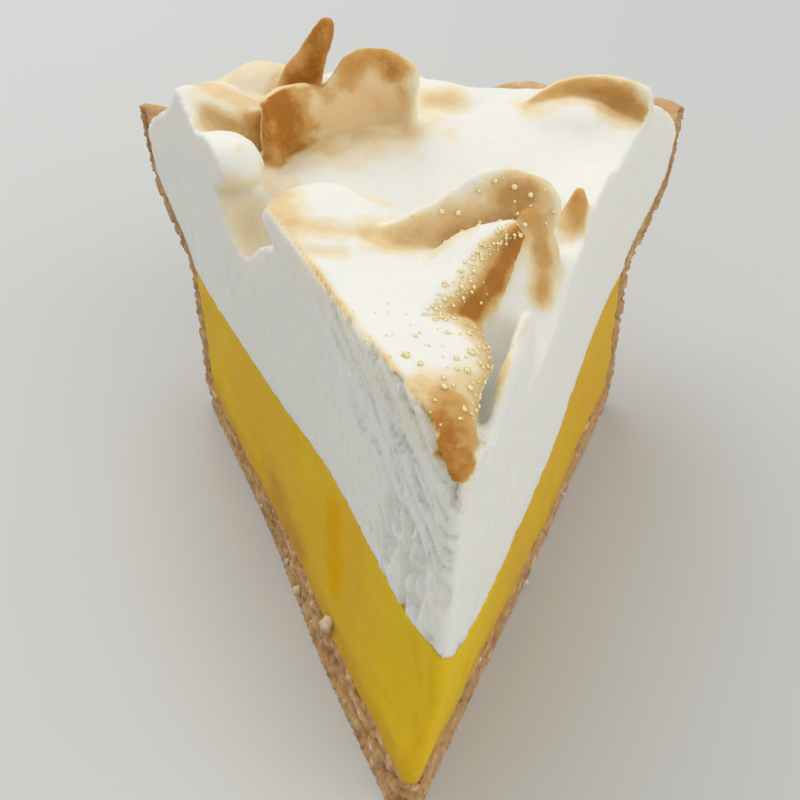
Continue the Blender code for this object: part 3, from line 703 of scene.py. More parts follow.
# Each fold: the way its width runs, then its stations.
FOLDS = {
    "front lobe": ((1.0, 0.25, -0.06), (
        (-14.0, 58.6, 59.6, 8.6, 5.2), (-12.0, 53.6, 60.3, 18.6, 6.6), (-7, 42, 59.4, 29.0, 6.8),
        (-3, 30, 60.2, 23.0, 6.3), (0.4, 20, 62.4, 18.4, 5.5), (2.2, 13, 62.8, 11.2, 5.4),
        (3.5, 7.0, 61.4, 7.0, 5.4), (4.7, 3.6, 59.6, 4.8, 4.6), (5.1, 1.4, 58.4, 3.0, 3.6),
    )),
    "crest": ((-0.75, 0.6, -0.25), (
        (-1.6, 31.0, 60.6, 11.0, 4.0), (1.4, 35.0, 61.4, 12.0, 4.2), (5.0, 39.3, 62.3, 10.5, 4.0),
        (9.0, 42.0, 64.2, 6.4, 3.2), (13.4, 42.9, 66.2, 2.4, 1.8),
    )),
    "crest face": ((-0.65, 0.20, 0.70), (
        (3.2, 24.6, 59.0, 4.0, 2.8), (4.9, 28.2, 59.8, 6.4, 3.2), (6.6, 32.2, 60.5, 7.0, 3.2),
        (9.0, 36.2, 61.2, 5.8, 2.8), (11.3, 39.6, 63.0, 3.8, 2.2), (13.8, 42.0, 65.6, 1.8, 1.4),
    )),
    "inner fold": ((1.0, 0.3, 0.0), (
        (12.6, 40.5, 56.5, 5.0, 3.4), (13.8, 43.0, 60.0, 4.4, 3.2), (14.4, 44.8, 63.0, 3.4, 2.6),
        (14.6, 46.4, 65.6, 2.4, 2.0),
    )),
    "curtain": ((0.0, 0.1, 1.0), (
        (9.3, 13.0, 48.0, 10.0, 2.4), (10.0, 16.6, 51.6, 12.0, 2.6), (10.9, 19.6, 54.0, 13.6, 2.6),
        (12.0, 23.4, 56.4, 14.0, 2.6), (13.2, 28.0, 56.4, 13.0, 2.6), (14.4, 33.0, 54.0, 10.0, 2.6),
    )),
    "flap": ((0.1, 0.25, 1.0), (
        (-6.5, 46.2, 60.4, 3.0, 2.5), (0, 48, 61.5, 5.6, 3.2), (5.0, 49.2, 62.3, 8.0, 3.6, -0.6),
        (9.8, 50, 63.4, 12.0, 3.6, -1.0), (13.2, 49.6, 63.6, 12.8, 3.4, -0.6),
        (15.4, 48.2, 62.9, 12.2, 2.8), (16.4, 46.8, 61.4, 7.0, 2.2),
    )),
    "tongue": ((1.0, 0.3, 0.0), (
        (15.6, 47.2, 66.0, 3.2, 2.4), (16.2, 45.2, 62.4, 3.0, 2.6), (16.6, 43.2, 59.0, 3.0, 2.6),
        (16.2, 41.2, 56.6, 2.4, 2.4), (16.0, 39.8, 54.6, 1.2, 1.6),
    )),
    "tongue edge": ((1.0, 0.4, 0.0), (
        (16.8, 47.4, 66.0, 1.4, 1.8), (17.8, 45.8, 62.6, 1.8, 2.0), (18.6, 44.8, 60.0, 1.9, 2.0),
        (18.2, 43.6, 58.2, 1.2, 1.6),
    )),
    "petal": ((0.0, 0.05, 1.0), (
        (-20.8, 75.8, 57.0, 13.2, 2.8), (-19.2, 78.6, 57.2, 13.2, 2.7),
        (-15.5, 81.4, 56.8, 12.8, 2.6, -0.6), (-12.0, 83.0, 57.0, 13.0, 2.5, -1.0),
        (-8.5, 84.8, 58.6, 16.8, 2.4, -1.4), (-5.2, 85.4, 59.6, 19.4, 2.3, -1.4),
        (-2.6, 85.0, 57.8, 14.4, 2.4, -0.8), (-0.8, 83.7, 56.0, 8.6, 2.6),
        (0.2, 81.4, 54.0, 4.0, 2.6),
    )),
    "petal lip": ((0.0, 1.0, 0.2), (
        (-21.6, 77.0, 63.3, 2.0, 1.6), (-19.4, 80.0, 63.7, 2.2, 1.8), (-16.0, 82.2, 63.2, 2.2, 1.8),
        (-12.8, 83.4, 62.5, 2.2, 1.8), (-10.8, 84.6, 64.2, 1.8, 1.6), (-9.4, 85.4, 65.8, 1.0, 1.0),
    )),
    "tall curl": ((1.0, 0.2, -0.1), (
        (-17.6, 88.4, 56.0, 10.0, 4.5), (-16.4, 87.9, 62.0, 7.4, 3.2, 0.8),
        (-14.0, 87.3, 67.6, 4.4, 2.6, 0.8), (-11.8, 86.8, 72.2, 2.3, 1.8),
    )),
    "left lump": ((0.15, 1.0, -0.25), (
        (-34.0, 73.5, 56.8, 9.0, 7.0), (-29.5, 72.6, 57.4, 10.0, 7.4),
        (-26.4, 71.8, 57.4, 10.6, 7.8), (-24.2, 71.6, 57.2, 9.6, 7.6),
        (-22.8, 72.6, 57.0, 6.0, 6.0),
    )),
    "brow": ((0.6, 0.8, 0.0), (
        (-34.0, 89.0, 57.4, 7.0, 3.6, -0.4), (-30.8, 86.4, 59.8, 8.0, 3.2, -0.5),
        (-26.6, 84.0, 59.8, 8.0, 3.0, -0.5), (-23.2, 82.8, 59.2, 7.0, 2.8, -0.3),
        (-19.5, 83.4, 59.8, 5.0, 2.6),
    )),
    "brow tuck": ((0.0, 0.2, 1.0), (
        (-31.0, 82.2, 58.4, 3.0, 2.2), (-28.0, 81.6, 57.6, 5.0, 2.8), (-24.6, 81.0, 57.0, 5.0, 2.8),
        (-21.4, 80.4, 57.4, 4.0, 2.6),
    )),
    "back fold": ((0.0, 1.0, 0.3), (
        (-38, 93, 49.6, 8.0, 5.0), (-33, 94, 52.6, 8.0, 5.0), (-28.5, 94.6, 55.2, 8.0, 4.8),
        (-23, 94.6, 57.4, 8.0, 4.5), (-13, 93, 56.6, 6.0, 4.0),
    )),
    "swirl": ((0.2, 1.0, 0.3), (
        (-3, 97, 52.6, 6.0, 5.0), (4, 92, 55.4, 8.0, 6.0), (11, 91, 54.2, 7.0, 5.0),
        (16, 95, 51.6, 6.0, 4.0),
    )),
    "low fold": ((0.1, 1.0, -0.5), (
        (-20, 103, 48.5, 8.0, 6.0), (-9, 106, 49.5, 10.0, 7.0), (3, 107, 48.0, 8.0, 6.0),
    )),
    "arch": ((0.0, -0.35, 1.0), (
        (16.4, 89.4, 54.8, 3.0, 2.4), (20.0, 90.8, 56.4, 3.6, 2.6, -0.3),
        (24.0, 92.0, 57.8, 4.6, 2.8, -0.6), (28.5, 92.4, 57.6, 7.0, 3.0, -1.0),
        (32.5, 91.6, 57.0, 9.4, 3.2, -1.0), (36.0, 89.6, 55.8, 10.0, 3.0, -0.6),
        (38.6, 87.8, 53.0, 7.0, 2.8),
    )),
    "right shelf": ((0.0, 1.0, 0.0), (
        (15.0, 86.8, 53.0, 8.0, 5.0), (20.0, 87.0, 54.2, 10.0, 6.6), (25.0, 87.4, 54.6, 11.0, 6.8),
        (28.6, 87.6, 54.2, 9.0, 6.0), (31.0, 87.6, 53.0, 4.0, 4.0),
    )),
    "small peak": ((1.0, 0.0, 0.0), (
        (22.3, 56.4, 54.0, 6.4, 6.0), (22.3, 55.8, 57.6, 5.0, 4.4), (22.4, 55.6, 60.8, 3.2, 2.8),
        (22.5, 55.4, 63.6, 1.3, 1.2),
    )),
}

# Where the oven browned it, with a few strokes of painted shade in hollows, creases and a groove: a
# path in millimetres, how far the colour reaches, how strong it is, and the way the browned face
# looks, if only one side is brown.
BROWNED_AND_SHADED = (
    # the lobe: its point, its free edge, its back corner
    (((3.0, 8.5, 64.4), (3.4, 5.6, 63.0), (4.6, 2.6, 61.5)), 4.8, 0.92),
    (((0.4, 13.8, 64.5), (2.4, 9.5, 64.4), (3.4, 6.0, 63.4)), 2.6, 0.66),
    (((4.2, 10.0, 65.0), (5.2, 6.0, 63.0), (5.2, 2.6, 61.5)), 6.4, 0.84),
    (((3.4, 11.4, 65.4), (6.0, 13.4, 64.5)), 6.0, 0.44),
    (((6.2, 7.0, 62.0), (7.9, 12.0, 62.6), (9.3, 17.5, 62.3), (8.9, 23.0, 61.8),
      (7.6, 28.0, 61.6)), 4.4, 0.66, (0.2, -0.2, 0.9)),
    (((-17.5, 54.0, 61.5), (-16.6, 47.0, 63.0)), 5.0, 0.52),
    # painted shade: browner colour along the lobe's creases and in its dimple, where they sink
    (((-16.5, 47.6, 63.0), (-8.6, 46.0, 62.5)), 3.2, 0.44),
    (((-14.0, 42.0, 62.8), (-9.0, 41.5, 62.5)), 2.6, 0.26),
    (((-7.5, 57.5, 62.0), (-3.0, 55.0, 62.0)), 3.0, 0.26),
    # the crest's face and tip
    (((3.4, 25.0, 60.0), (7.2, 31.0, 61.5), (10.4, 36.4, 62.8), (14.0, 41.4, 65.4)), 4.6, 1.0,
     (0.5, -0.8, 0.1)),
    (((13.2, 41.6, 65.8), (14.2, 42.4, 66.6)), 2.2, 0.80),
    # the flap and its tongue
    (((-4.0, 46.0, 61.4), (4.0, 47.0, 62.0), (9.0, 48.0, 62.6), (15.0, 47.5, 63.6)), 5.8, 0.62,
     (0.1, -0.9, 0.3)),
    (((12.2, 48.4, 66.8), (14.5, 48.0, 67.4), (15.5, 46.9, 64.0)), 4.8, 0.78),
    (((14.6, 46.6, 66.0), (16.0, 45.6, 63.0), (16.6, 43.6, 60.0), (16.1, 41.2, 56.8)), 3.6, 0.86),
    (((18.2, 46.4, 64.0), (19.0, 44.8, 61.0), (18.4, 43.6, 59.0)), 2.6, 0.44),
    (((3.4, 42.5, 62.6), (7.2, 43.4, 64.0)), 3.0, 0.30),
    (((22.4, 55.4, 58.4), (22.5, 55.2, 63.0)), 4.6, 0.80),
    # painted shade in the groove of the small fold beside the lobe
    (((12.6, 24.0, 62.6), (13.6, 28.0, 62.6)), 2.4, 0.16),
    # the petal: its rim, its hollow, and the deep brown at its left
    (((-12.5, 84.0, 62.4), (-9.0, 85.0, 66.4), (-5.2, 85.6, 69.0), (-2.6, 85.2, 65.2)), 5.6, 0.86),
    (((-2.4, 85.2, 64.6), (-0.4, 83.6, 59.4)), 3.0, 0.62),
    (((-14.0, 82.0, 57.0), (-8.0, 84.5, 59.0), (-4.0, 84.5, 58.0)), 13.0, 0.50, (0.0, -0.9, 0.2)),
    (((-20.0, 78.4, 63.0), (-19.2, 78.4, 57.0), (-18.4, 77.6, 51.0)), 10.5, 1.0, (0.2, -0.9, 0.0)),
    (((-13.0, 80.6, 53.6), (-3.0, 81.4, 53.6)), 5.0, 0.34),
    (((-21.4, 77.6, 64.2), (-16.0, 82.4, 64.2), (-12.5, 83.6, 63.6)), 2.4, 0.44),
    (((-22.8, 77.0, 60.6), (-22.4, 79.0, 61.4)), 3.4, 0.42),
    (((-17.6, 88.0, 60.0), (-14.2, 87.3, 67.4), (-11.8, 86.8, 72.0)), 8.0, 0.94),
    # the folds at the back left
    (((-33.0, 88.0, 60.0), (-28.4, 84.5, 61.4), (-25.0, 82.6, 61.2), (-21.0, 82.0, 61.0)), 4.0,
     0.50),
    # painted shade, over some tan, in the slot under the brow
    (((-29.6, 80.8, 59.6), (-27.6, 80.2, 58.6), (-25.0, 79.4, 57.8), (-22.2, 79.0, 58.2)), 3.6,
     0.66),
    (((-33.0, 77.6, 61.6), (-31.0, 80.4, 61.6)), 3.4, 0.24),
    (((-25.8, 89.5, 59.2), (-23.5, 89.0, 59.6)), 3.0, 0.46),
    # painted shade in the hollow between the lip and the ridge behind it
    (((-23.5, 84.5, 61.0), (-20.5, 84.0, 61.4)), 3.0, 0.46),
    (((-37.0, 90.0, 55.0), (-30.0, 95.0, 57.4), (-22.0, 96.0, 59.4)), 6.0, 0.34),
    # the arch
    (((19.5, 90.4, 57.6), (24.0, 91.2, 58.8), (29.0, 91.4, 58.8), (34.0, 90.2, 58.0),
      (37.6, 88.4, 55.6)), 5.4, 0.78, (0.0, -0.9, 0.3)),
    (((30.5, 89.4, 55.6), (36.4, 88.0, 55.0)), 6.0, 0.76, (0.0, -0.9, 0.3)),
    (((22.0, 92.0, 59.4), (29.0, 93.0, 60.6), (35.0, 91.5, 60.0)), 2.8, 0.44),
    # patches at the back
    (((3.4, 89.0, 57.6), (6.6, 89.0, 57.6)), 4.6, 0.44),
    (((-40.0, 98.0, 50.0), (-30.0, 104.0, 49.0), (-12.0, 109.0, 48.0), (8.0, 110.0, 47.0),
      (26.0, 106.0, 48.0), (40.0, 98.0, 48.0)), 7.0, 0.36),
    # painted shade in the hollow behind the lobe, where little light reaches
    (((-25.0, 65.0, 53.0), (-20.0, 61.0, 49.0)), 8.0, 0.38),
)
# The lobe's point also browned where it hangs over the cut.
POINT_BROWNED = (((3.2, 5.6, 62.6), (4.6, 2.4, 62.0), (6.0, 4.4, 62.4)), 2.6, 0.94)

# Creases and soft hollows in the skin: a path in millimetres, half width and depth.
CREASED = (
    (((-15.5, 47.5, 62.5), (-11.9, 48.2, 62.5), (-8.6, 46.6, 62.5), (-5.9, 45.8, 62.5)), 1.0, 0.8),
    (((-13.2, 42.0, 62.5), (-9.5, 41.8, 62.5)), 0.8, 0.5),
    (((-4.9, 56.4, 62.0), (-2.8, 55.0, 62.0)), 0.7, 0.7),
    (((-6.4, 58.0, 61.5), (-5.6, 57.0, 61.5)), 1.5, 0.7),
    (((0.0, 44.8, 62.5), (2.2, 38.4, 62.5)), 3.0, 0.7),
    (((-24.5, 86.5, 60.5), (-21.5, 85.8, 60.8)), 1.5, 1.2),
    (((-27.5, 90.2, 60.5), (-26.0, 90.0, 60.5)), 1.2, 0.8),
)


def meringue_shape():
    """Every fold and the mass, each a closed shape of its own, overlapping."""
    bm = bmesh.new()
    add_mass(bm)
    for across, stations in FOLDS.values():
        add_fold(bm, stations, across)
    return bm


RAGGED = 0.30  # how ragged a painted patch's edge is
PATCH_CORE, PATCH_END = 0.12, 1.05  # shares of its reach where it starts to fade, and is gone
FACES_WAY = (-0.15, 0.45)  # how squarely a surface must face a way to be browned from there


def near(points, path, reach):
    """1 on a path given in millimetres, fading to 0 at its reach."""
    gap = from_path(points, path)
    gap *= 1.0 + RAGGED * noise_at(points, *PATCH_NOISE)
    return 1.0 - smooth(PATCH_CORE * reach * MM, PATCH_END * reach * MM, gap)


def browning_and_shade(points, normals):
    """How browned each point is, with the painted shade of the shade strokes, from 0 to 1."""
    brown = np.zeros(len(points))
    for path, reach, strength, *ways in BROWNED_AND_SHADED:
        painted = strength * near(points, path, reach)
        for way in ways:
            painted *= smooth(*FACES_WAY, normals @ unit(way))
        brown = np.maximum(brown, painted)
    return brown


# ---------------------------------------------------------------- shader node groups


def new_group(name, inputs, outputs):
    """An empty shader node group with named sockets."""
    group = bpy.data.node_groups.new(name, "ShaderNodeTree")
    for socket_name, kind, default in inputs:
        socket = group.interface.new_socket(socket_name, in_out="INPUT", socket_type=kind)
        socket.default_value = default
    for socket_name, kind in outputs:
        group.interface.new_socket(socket_name, in_out="OUTPUT", socket_type=kind)
    return group


class Nodes:
    """Adds linked nodes to a tree in few words."""

    def __init__(self, tree):
        self.tree = tree

    def add(self, kind, inputs=None, **settings):
        """A node with its settings, and its inputs set or linked."""
        node = self.tree.nodes.new(kind)
        for name, value in settings.items():
            setattr(node, name, value)
        for key, value in (inputs or {}).items():
            if isinstance(value, bpy.types.NodeSocket):
                self.tree.links.new(value, node.inputs[key])
            else:
                node.inputs[key].default_value = value
        return node

    def math(self, operation, first, second=0.0, third=0.0, clamp=False):
        """The result of a Math node."""
        node = self.add("ShaderNodeMath", {0: first, 1: second, 2: third}, operation=operation)
        node.use_clamp = clamp
        return node.outputs[0]

    def fade(self, value, low, high, start=0.0, end=1.0):
        """A value mapped smoothly from one range to another."""
        names = ("Value", "From Min", "From Max", "To Min", "To Max")
        inputs = dict(zip(names, (value, low, high, start, end)))
        node = self.add("ShaderNodeMapRange", inputs, interpolation_type="SMOOTHSTEP")
        return node.outputs[0]

    def mix(self, amount, first, second):
        """Two colours mixed."""
        node = self.add("ShaderNodeMix", data_type="RGBA")
        sockets = (node.inputs[0], node.inputs[6], node.inputs[7])
        for socket, value in zip(sockets, (amount, first, second)):
            if isinstance(value, bpy.types.NodeSocket):
                self.tree.links.new(value, socket)
            else:
                socket.default_value = value
        return node.outputs[2]

    def cloud(self, vector, scale, detail=3.0, rough=0.55):
        """Noise from 0 to 1."""
        inputs = {"Vector": vector, "Scale": scale, "Detail": detail, "Roughness": rough}
        return self.add("ShaderNodeTexNoise", inputs).outputs[0]

    def place(self):
        """Where a point is on its piece."""
        return self.add("ShaderNodeTexCoord").outputs["Object"]

    def stretch(self, vector, by):
        """A place drawn out along each axis."""
        node = self.add("ShaderNodeVectorMath", {0: vector, 1: by}, operation="MULTIPLY")
        return node.outputs[0]

    def mask(self, name):
        """A mask stored on the piece's points."""
        return self.add("ShaderNodeAttribute", attribute_name=name).outputs["Fac"]


class Finish(Nodes):
    """A node material, with its Principled shader."""

    def __init__(self, name):
        self.material = bpy.data.materials.new(name)
        self.material.use_nodes = True
        super().__init__(self.material.node_tree)
        self.shader = self.tree.nodes["Principled BSDF"]
        self.set(Metallic=0.0)

    def set(self, **values):
        """Sets the shader's own sockets; an underscore stands for a space."""
        for name, value in values.items():
            self.shader.inputs[name.replace("_", " ")].default_value = value

    def feed(self, name, value):
        """Links a value that changes over the surface to one of the shader's sockets."""
        self.tree.links.new(value, self.shader.inputs[name])

    def scatter(self, weight, radius, scale):
        """How much light sinks in, how far each colour goes, and the scale of that in metres."""
        self.set(Subsurface_Weight=weight, Subsurface_Radius=radius, Subsurface_Scale=scale)

    def relief(self, grain, pit, pits, stretch=(1.0, 1.0, 1.0)):
        """The height of the fine relief, with its own sizes."""
        inputs = {"Grain Size": grain, "Pit Size": pit, "Pits": pits, "Stretch": stretch}
        node = self.add("ShaderNodeGroup", inputs, node_tree=relief_group())
        return node.outputs["Height"]

    def bump(self, height, strength, distance):
        """Bumps the surface by a height."""
        inputs = {"Height": height, "Strength": strength, "Distance": distance}
        self.feed("Normal", self.add("ShaderNodeBump", inputs).outputs[0])

    def bake(self, colours, blotch_size, blotches):
        """Feeds the baked colour by the piece's mask, which in the meringue holds painted shade too,
        and returns how baked it is.
        """
        inputs = {name: rgba(colour) for name, colour in zip(BAKED_COLOURS, colours)}
        inputs.update({"Blotch Size": blotch_size, "Blotches": blotches, "Darkening": self.mask("darkening")})
        baked = self.add("ShaderNodeGroup", inputs, node_tree=baked_colour_group())
        self.feed("Base Color", baked.outputs["Color"])
        return baked.outputs["Baked"]


def rgba(values):
    """A colour with full alpha."""
    return (*values, 1.0)


BAKED_COLOURS = ("White", "Cream", "Tan", "Caramel", "Dark")
BAKED_STEPS = ((0.0, 0.26), (0.24, 0.52), (0.50, 0.78), (0.78, 1.0))  # where each takes over


def baked_colour_group():
    """Baked colour, and painted shade where a mask holds it: from white through cream, tan and caramel
    to dark, blotched by noise.
    """
    found = bpy.data.node_groups.get("Baked colour")
    if found:
        return found
    grey = (0.5, 0.5, 0.5, 1.0)
    inputs = [("Darkening", "NodeSocketFloat", 0.0)]
    inputs += [(name, "NodeSocketColor", grey) for name in BAKED_COLOURS]
    inputs += [("Blotch Size", "NodeSocketFloat", 300.0), ("Blotches", "NodeSocketFloat", 0.3)]
    outputs = [("Color", "NodeSocketColor"), ("Baked", "NodeSocketFloat")]
    group = new_group("Baked colour", inputs, outputs)
    nodes = Nodes(group)
    given = nodes.add("NodeGroupInput")
    result = nodes.add("NodeGroupOutput")
    place, size = nodes.place(), given.outputs["Blotch Size"]
    coarse = nodes.cloud(place, size, detail=4.0)
    fine = nodes.cloud(place, nodes.math("MULTIPLY", size, 5.0), rough=0.6)
    blotch = nodes.math("MULTIPLY", coarse, 0.7)
    blotch = nodes.math("ADD", blotch, nodes.math("MULTIPLY", fine, 0.3))
    blotch = nodes.math("MULTIPLY", nodes.math("SUBTRACT", blotch, 0.5), given.outputs["Blotches"])
    darkening = given.outputs["Darkening"]
    open_to_blotches = nodes.fade(darkening, 0.02, 0.35, start=0.12)
    baked = nodes.math("MULTIPLY_ADD", blotch, open_to_blotches, darkening, clamp=True)
    shade = given.outputs["White"]
    for name, (low, high) in zip(BAKED_COLOURS[1:], BAKED_STEPS):
        shade = nodes.mix(nodes.fade(baked, low, high), shade, given.outputs[name])
    nodes.tree.links.new(shade, result.inputs["Color"])
    nodes.tree.links.new(baked, result.inputs["Baked"])
    return group


def relief_group():
    """Fine relief: soft grain with small pits, as a height from 0 to 1."""
    found = bpy.data.node_groups.get("Fine relief")
    if found:
        return found
    inputs = [("Grain Size", "NodeSocketFloat", 2000.0), ("Pit Size", "NodeSocketFloat", 900.0),
              ("Pits", "NodeSocketFloat", 0.5), ("Stretch", "NodeSocketVector", (1.0, 1.0, 1.0))]
    group = new_group("Fine relief", inputs, [("Height", "NodeSocketFloat")])
    nodes = Nodes(group)
    given = nodes.add("NodeGroupInput")
    result = nodes.add("NodeGroupOutput")
    stretched = nodes.stretch(nodes.place(), given.outputs["Stretch"])
    grain = nodes.cloud(stretched, given.outputs["Grain Size"], detail=4.0, rough=0.6)
    inputs = {"Vector": stretched, "Scale": given.outputs["Pit Size"]}
    cells = nodes.add("ShaderNodeTexVoronoi", inputs)
    pit = nodes.fade(cells.outputs["Distance"], 0.30, 0.12)
    deep = nodes.math("MULTIPLY", pit, given.outputs["Pits"])
    nodes.tree.links.new(nodes.math("SUBTRACT", grain, deep), result.inputs["Height"])
    return group


def meringue_material(looks):
    """Baked meringue: white foam with a satin skin that browns, and a matt torn cut."""
    finish = Finish("baked meringue")
    cut_face = finish.mask("cut_face")
    colours = (looks.white, looks.cream, looks.tan, looks.caramel, looks.dark)
    baked = finish.bake(colours, blotch_size=260.0, blotches=0.55)
    rough = finish.fade(baked, 0.1, 0.7, start=0.62, end=0.40)
    finish.feed("Roughness", finish.math("MULTIPLY_ADD", cut_face, 0.25, rough, clamp=True))
    foam = finish.relief(grain=1500.0, pit=1400.0, pits=0.5, stretch=(1.0, 1.0, 0.45))
    depth = finish.fade(cut_face, 0.0, 1.0, start=0.35)
    finish.bump(finish.math("MULTIPLY", foam, depth), strength=0.5, distance=0.00025)
    finish.scatter(weight=0.45, radius=(1.0, 0.75, 0.5), scale=0.0035)
    finish.set(Specular_IOR_Level=0.3)
    return finish.material


def filling_material(looks):
    """Lemon curd: satin, dense, a little clear, in golden and lemon drifts with deep streaks."""
    finish = Finish("lemon curd")
    place = finish.place()
    drawn = finish.stretch(place, (1.0, 1.0, 0.5))
    drift = finish.math("MULTIPLY_ADD", finish.mask("point"), 0.35, finish.cloud(drawn, 55.0))
    shade = finish.mix(finish.fade(drift, 0.42, 0.75), rgba(looks.golden), rgba(looks.lemon))
    streak = finish.fade(finish.cloud(drawn, 120.0, detail=2.0), 0.60, 0.72, end=0.7)
    deep = finish.math("MAXIMUM", streak, finish.mask("thin"))
    shade = finish.mix(deep, shade, rgba(looks.deep))
    stained = finish.math("MULTIPLY", finish.mask("stained"), 0.8)
    finish.feed("Base Color", finish.mix(stained, shade, rgba(looks.stain)))
    rough = finish.fade(finish.cloud(place, 300.0), 0.3, 0.7, start=0.52, end=0.62)
    finish.feed("Roughness", rough)
    dense = finish.relief(grain=700.0, pit=500.0, pits=0.15, stretch=(1.0, 1.0, 1.6))
    finish.bump(dense, strength=0.35, distance=0.00025)
    finish.scatter(weight=0.5, radius=(1.0, 0.7, 0.15), scale=0.004)
    finish.set(Specular_IOR_Level=0.04)
    return finish.material


def crust_material(looks):
    """Baked pastry: crumbly and matt, pale to golden, browned on its edges."""
    finish = Finish("baked pastry")
    middle = tuple((a + b) / 2.0 for a, b in zip(looks.golden, looks.brown))
    colours = (looks.pale, looks.golden, middle, looks.brown, looks.brown)
    baked = finish.bake(colours, blotch_size=180.0, blotches=1.1)
    finish.feed("Roughness", finish.fade(baked, 0.1, 0.8, start=0.85, end=0.62))
    crumbly = finish.relief(grain=1100.0, pit=700.0, pits=0.6)
    finish.bump(crumbly, strength=0.8, distance=0.0004)
    finish.scatter(weight=0.1, radius=(1.0, 0.6, 0.3), scale=0.002)
    return finish.material


def syrup_material(looks):
    """Amber syrup: wet beads in amber, with a painted highlight mixed into the middle of each, where it
    faces the camera.
    """
    finish = Finish("amber syrup")
    # painted highlight: the facing middle of each bead takes the highlight colour, its edges the amber
    facing = finish.add("ShaderNodeLayerWeight", {"Blend": 0.5}).outputs["Facing"]
    uneven = finish.math("MULTIPLY_ADD", finish.cloud(finish.place(), 900.0), 0.3, facing)
    deep = finish.fade(uneven, 0.30, 0.80)
    finish.feed("Base Color", finish.mix(deep, rgba(looks.bright), rgba(looks.amber)))
    finish.scatter(weight=0.3, radius=(1.0, 0.7, 0.2), scale=0.0004)
    finish.set(Roughness=0.10, IOR=1.47, Coat_Weight=1.0, Coat_Roughness=0.03)
    return finish.material


def crumb_material(looks):
    """Loose crumbs of the same pastry."""
    finish = Finish("pastry crumbs")
    dark = tuple(value * 0.62 for value in looks.crumb)
    shade = finish.fade(finish.cloud(finish.place(), 600.0, detail=4.0), 0.4, 0.65)
    finish.feed("Base Color", finish.mix(shade, rgba(looks.crumb), rgba(dark)))
    finish.set(Roughness=0.8)
    return finish.material


# ---------------------------------------------------------------- operators


SURFACE_DEPTHS = (0.0003, 0.0010)  # depths over which a cut gives way to the baked surface
FOAM_DEPTHS, FOAM_FACES = (0.0003, 0.0009), (0.35, 0.75)  # the same in meringue, and its facing


def slice_off(made, sizes, fineness, softening):
    """Cuts a turned shape to the slice, with an even skin. Returns its points and normals."""
    space = new_object("between_the_cuts", slice_space(sizes))
    cut(made, "INTERSECT", space)
    remesh(made, fineness, softening)
    apply_modifiers(made)
    remove(space)
    return points_of(made.data), normals_of(made.data)


def laid_flat(along, height, side):
    """Points of both cuts laid flat, for patterns that run along them and up them."""
    return np.column_stack((along, height, side * SIDES_APART))


def shift(made, points, normals, amount):
    """Moves each point along its normal."""
    set_points(made.data, points + normals * amount[:, None])


FLAKES_BREAK, CRUMBS_BREAK = (-0.2, 0.5), (0.0, 0.5)  # noise over which they break out of the cut
CRUMB_SHARE = 0.6  # of the crumble depth, added by single crumbs
BLISTER_HEIGHT, CRUMB_HEIGHT = 0.00022, 0.00012  # on the pastry's skin
FLAT_FOOT = (0.0, 0.0012)  # heights over which the relief fades to nothing on the floor
RIM_FROM = 0.004  # how far inside the lip the rim starts to brown
WALL_RADII = (0.080, 0.092)
CUT_BAKED, FLAKES_BAKED, CRUMBS_BAKED = 0.46, 0.4, 0.3
WALL_BAKED, RIM_BAKED, BLISTERS_BAKED = 0.14, 0.12, 0.12


class PIE_OT_crust(Operator):
    """Builds the pastry case with its crumbly cuts, blisters and crimped, browned rim"""

    bl_idname = "pie.crust"
    bl_label = "Crust"
    bl_options = {"REGISTER", "UNDO"}

    def execute(self, context):
        sizes, looks = context.scene.pie_sizes, context.scene.pie_crust
        shape = turned(pastry_outline(sizes), lambda point, angle: crimp(sizes, point, angle))
        made = new_object("pastry_case", shape)
        points, normals = slice_off(made, sizes, sizes.fineness, 1)
        depth, along, side, _ = cut_depth(sizes, points)
        on_cut = 1.0 - smooth(*SURFACE_DEPTHS, depth)
        flakes = noise_at(laid_flat(along, points[:, 2], side), *FLAKES)
        crumbs, blisters = noise_at(points, *CRUMBLES), noise_at(points, *BLISTERS)
        broken = smooth(*FLAKES_BREAK, flakes) + CRUMB_SHARE * smooth(*CRUMBS_BREAK, crumbs)
        inward = looks.crumble * broken
        skin = BLISTER_HEIGHT * blisters + CRUMB_HEIGHT * crumbs
        off_floor = smooth(*FLAT_FOOT, points[:, 2])
        shift(made, points, normals, (-on_cut * inward + (1.0 - on_cut) * skin) * off_floor)
        radius = np.hypot(points[:, 0], points[:, 1])
        rim = RIM_BAKED * smooth(sizes.lip_radius - RIM_FROM, sizes.rim_radius, radius)
        edge = on_cut * (CUT_BAKED + FLAKES_BAKED * flakes + CRUMBS_BAKED * crumbs)
        wall = WALL_BAKED * smooth(*WALL_RADII, radius)
        darkening = np.maximum(edge, wall) + rim + BLISTERS_BAKED * blisters
        set_mask(made.data, "darkening", np.clip(darkening, 0.0, 1.0))
        place_piece(made, "crust", crust_material(looks), sizes)
        return {"FINISHED"}


CURD_FINENESS = 1.27  # times the smallest faces
SLUMP_HEIGHT, CURD_SUNK = 0.00035, 0.0001  # of the curd between the knife's smears
PALE_FROM = (0.004, 0.030)  # distances from the middle over which the curd turns golden
THIN = (((-10.9, 32.6, 25.0), (-11.3, 31.2, 14.0)), 4.2)  # a deep streak: its path and reach
THIN_STRENGTH = 1.5
STAINED = (((-21.6, 52.4, 9.0), (-17.4, 43.0, 6.5)), 7.0)  # a patch on the left cut
LOW_STAIN, LOW_HEIGHTS, LOW_RAGGED = 0.70, (0.0045, 0.0095), 0.0012  # along the pastry
RIGHT_STAIN, RIGHT_FROM = 0.28, (0.010, 0.030)  # all over the right cut


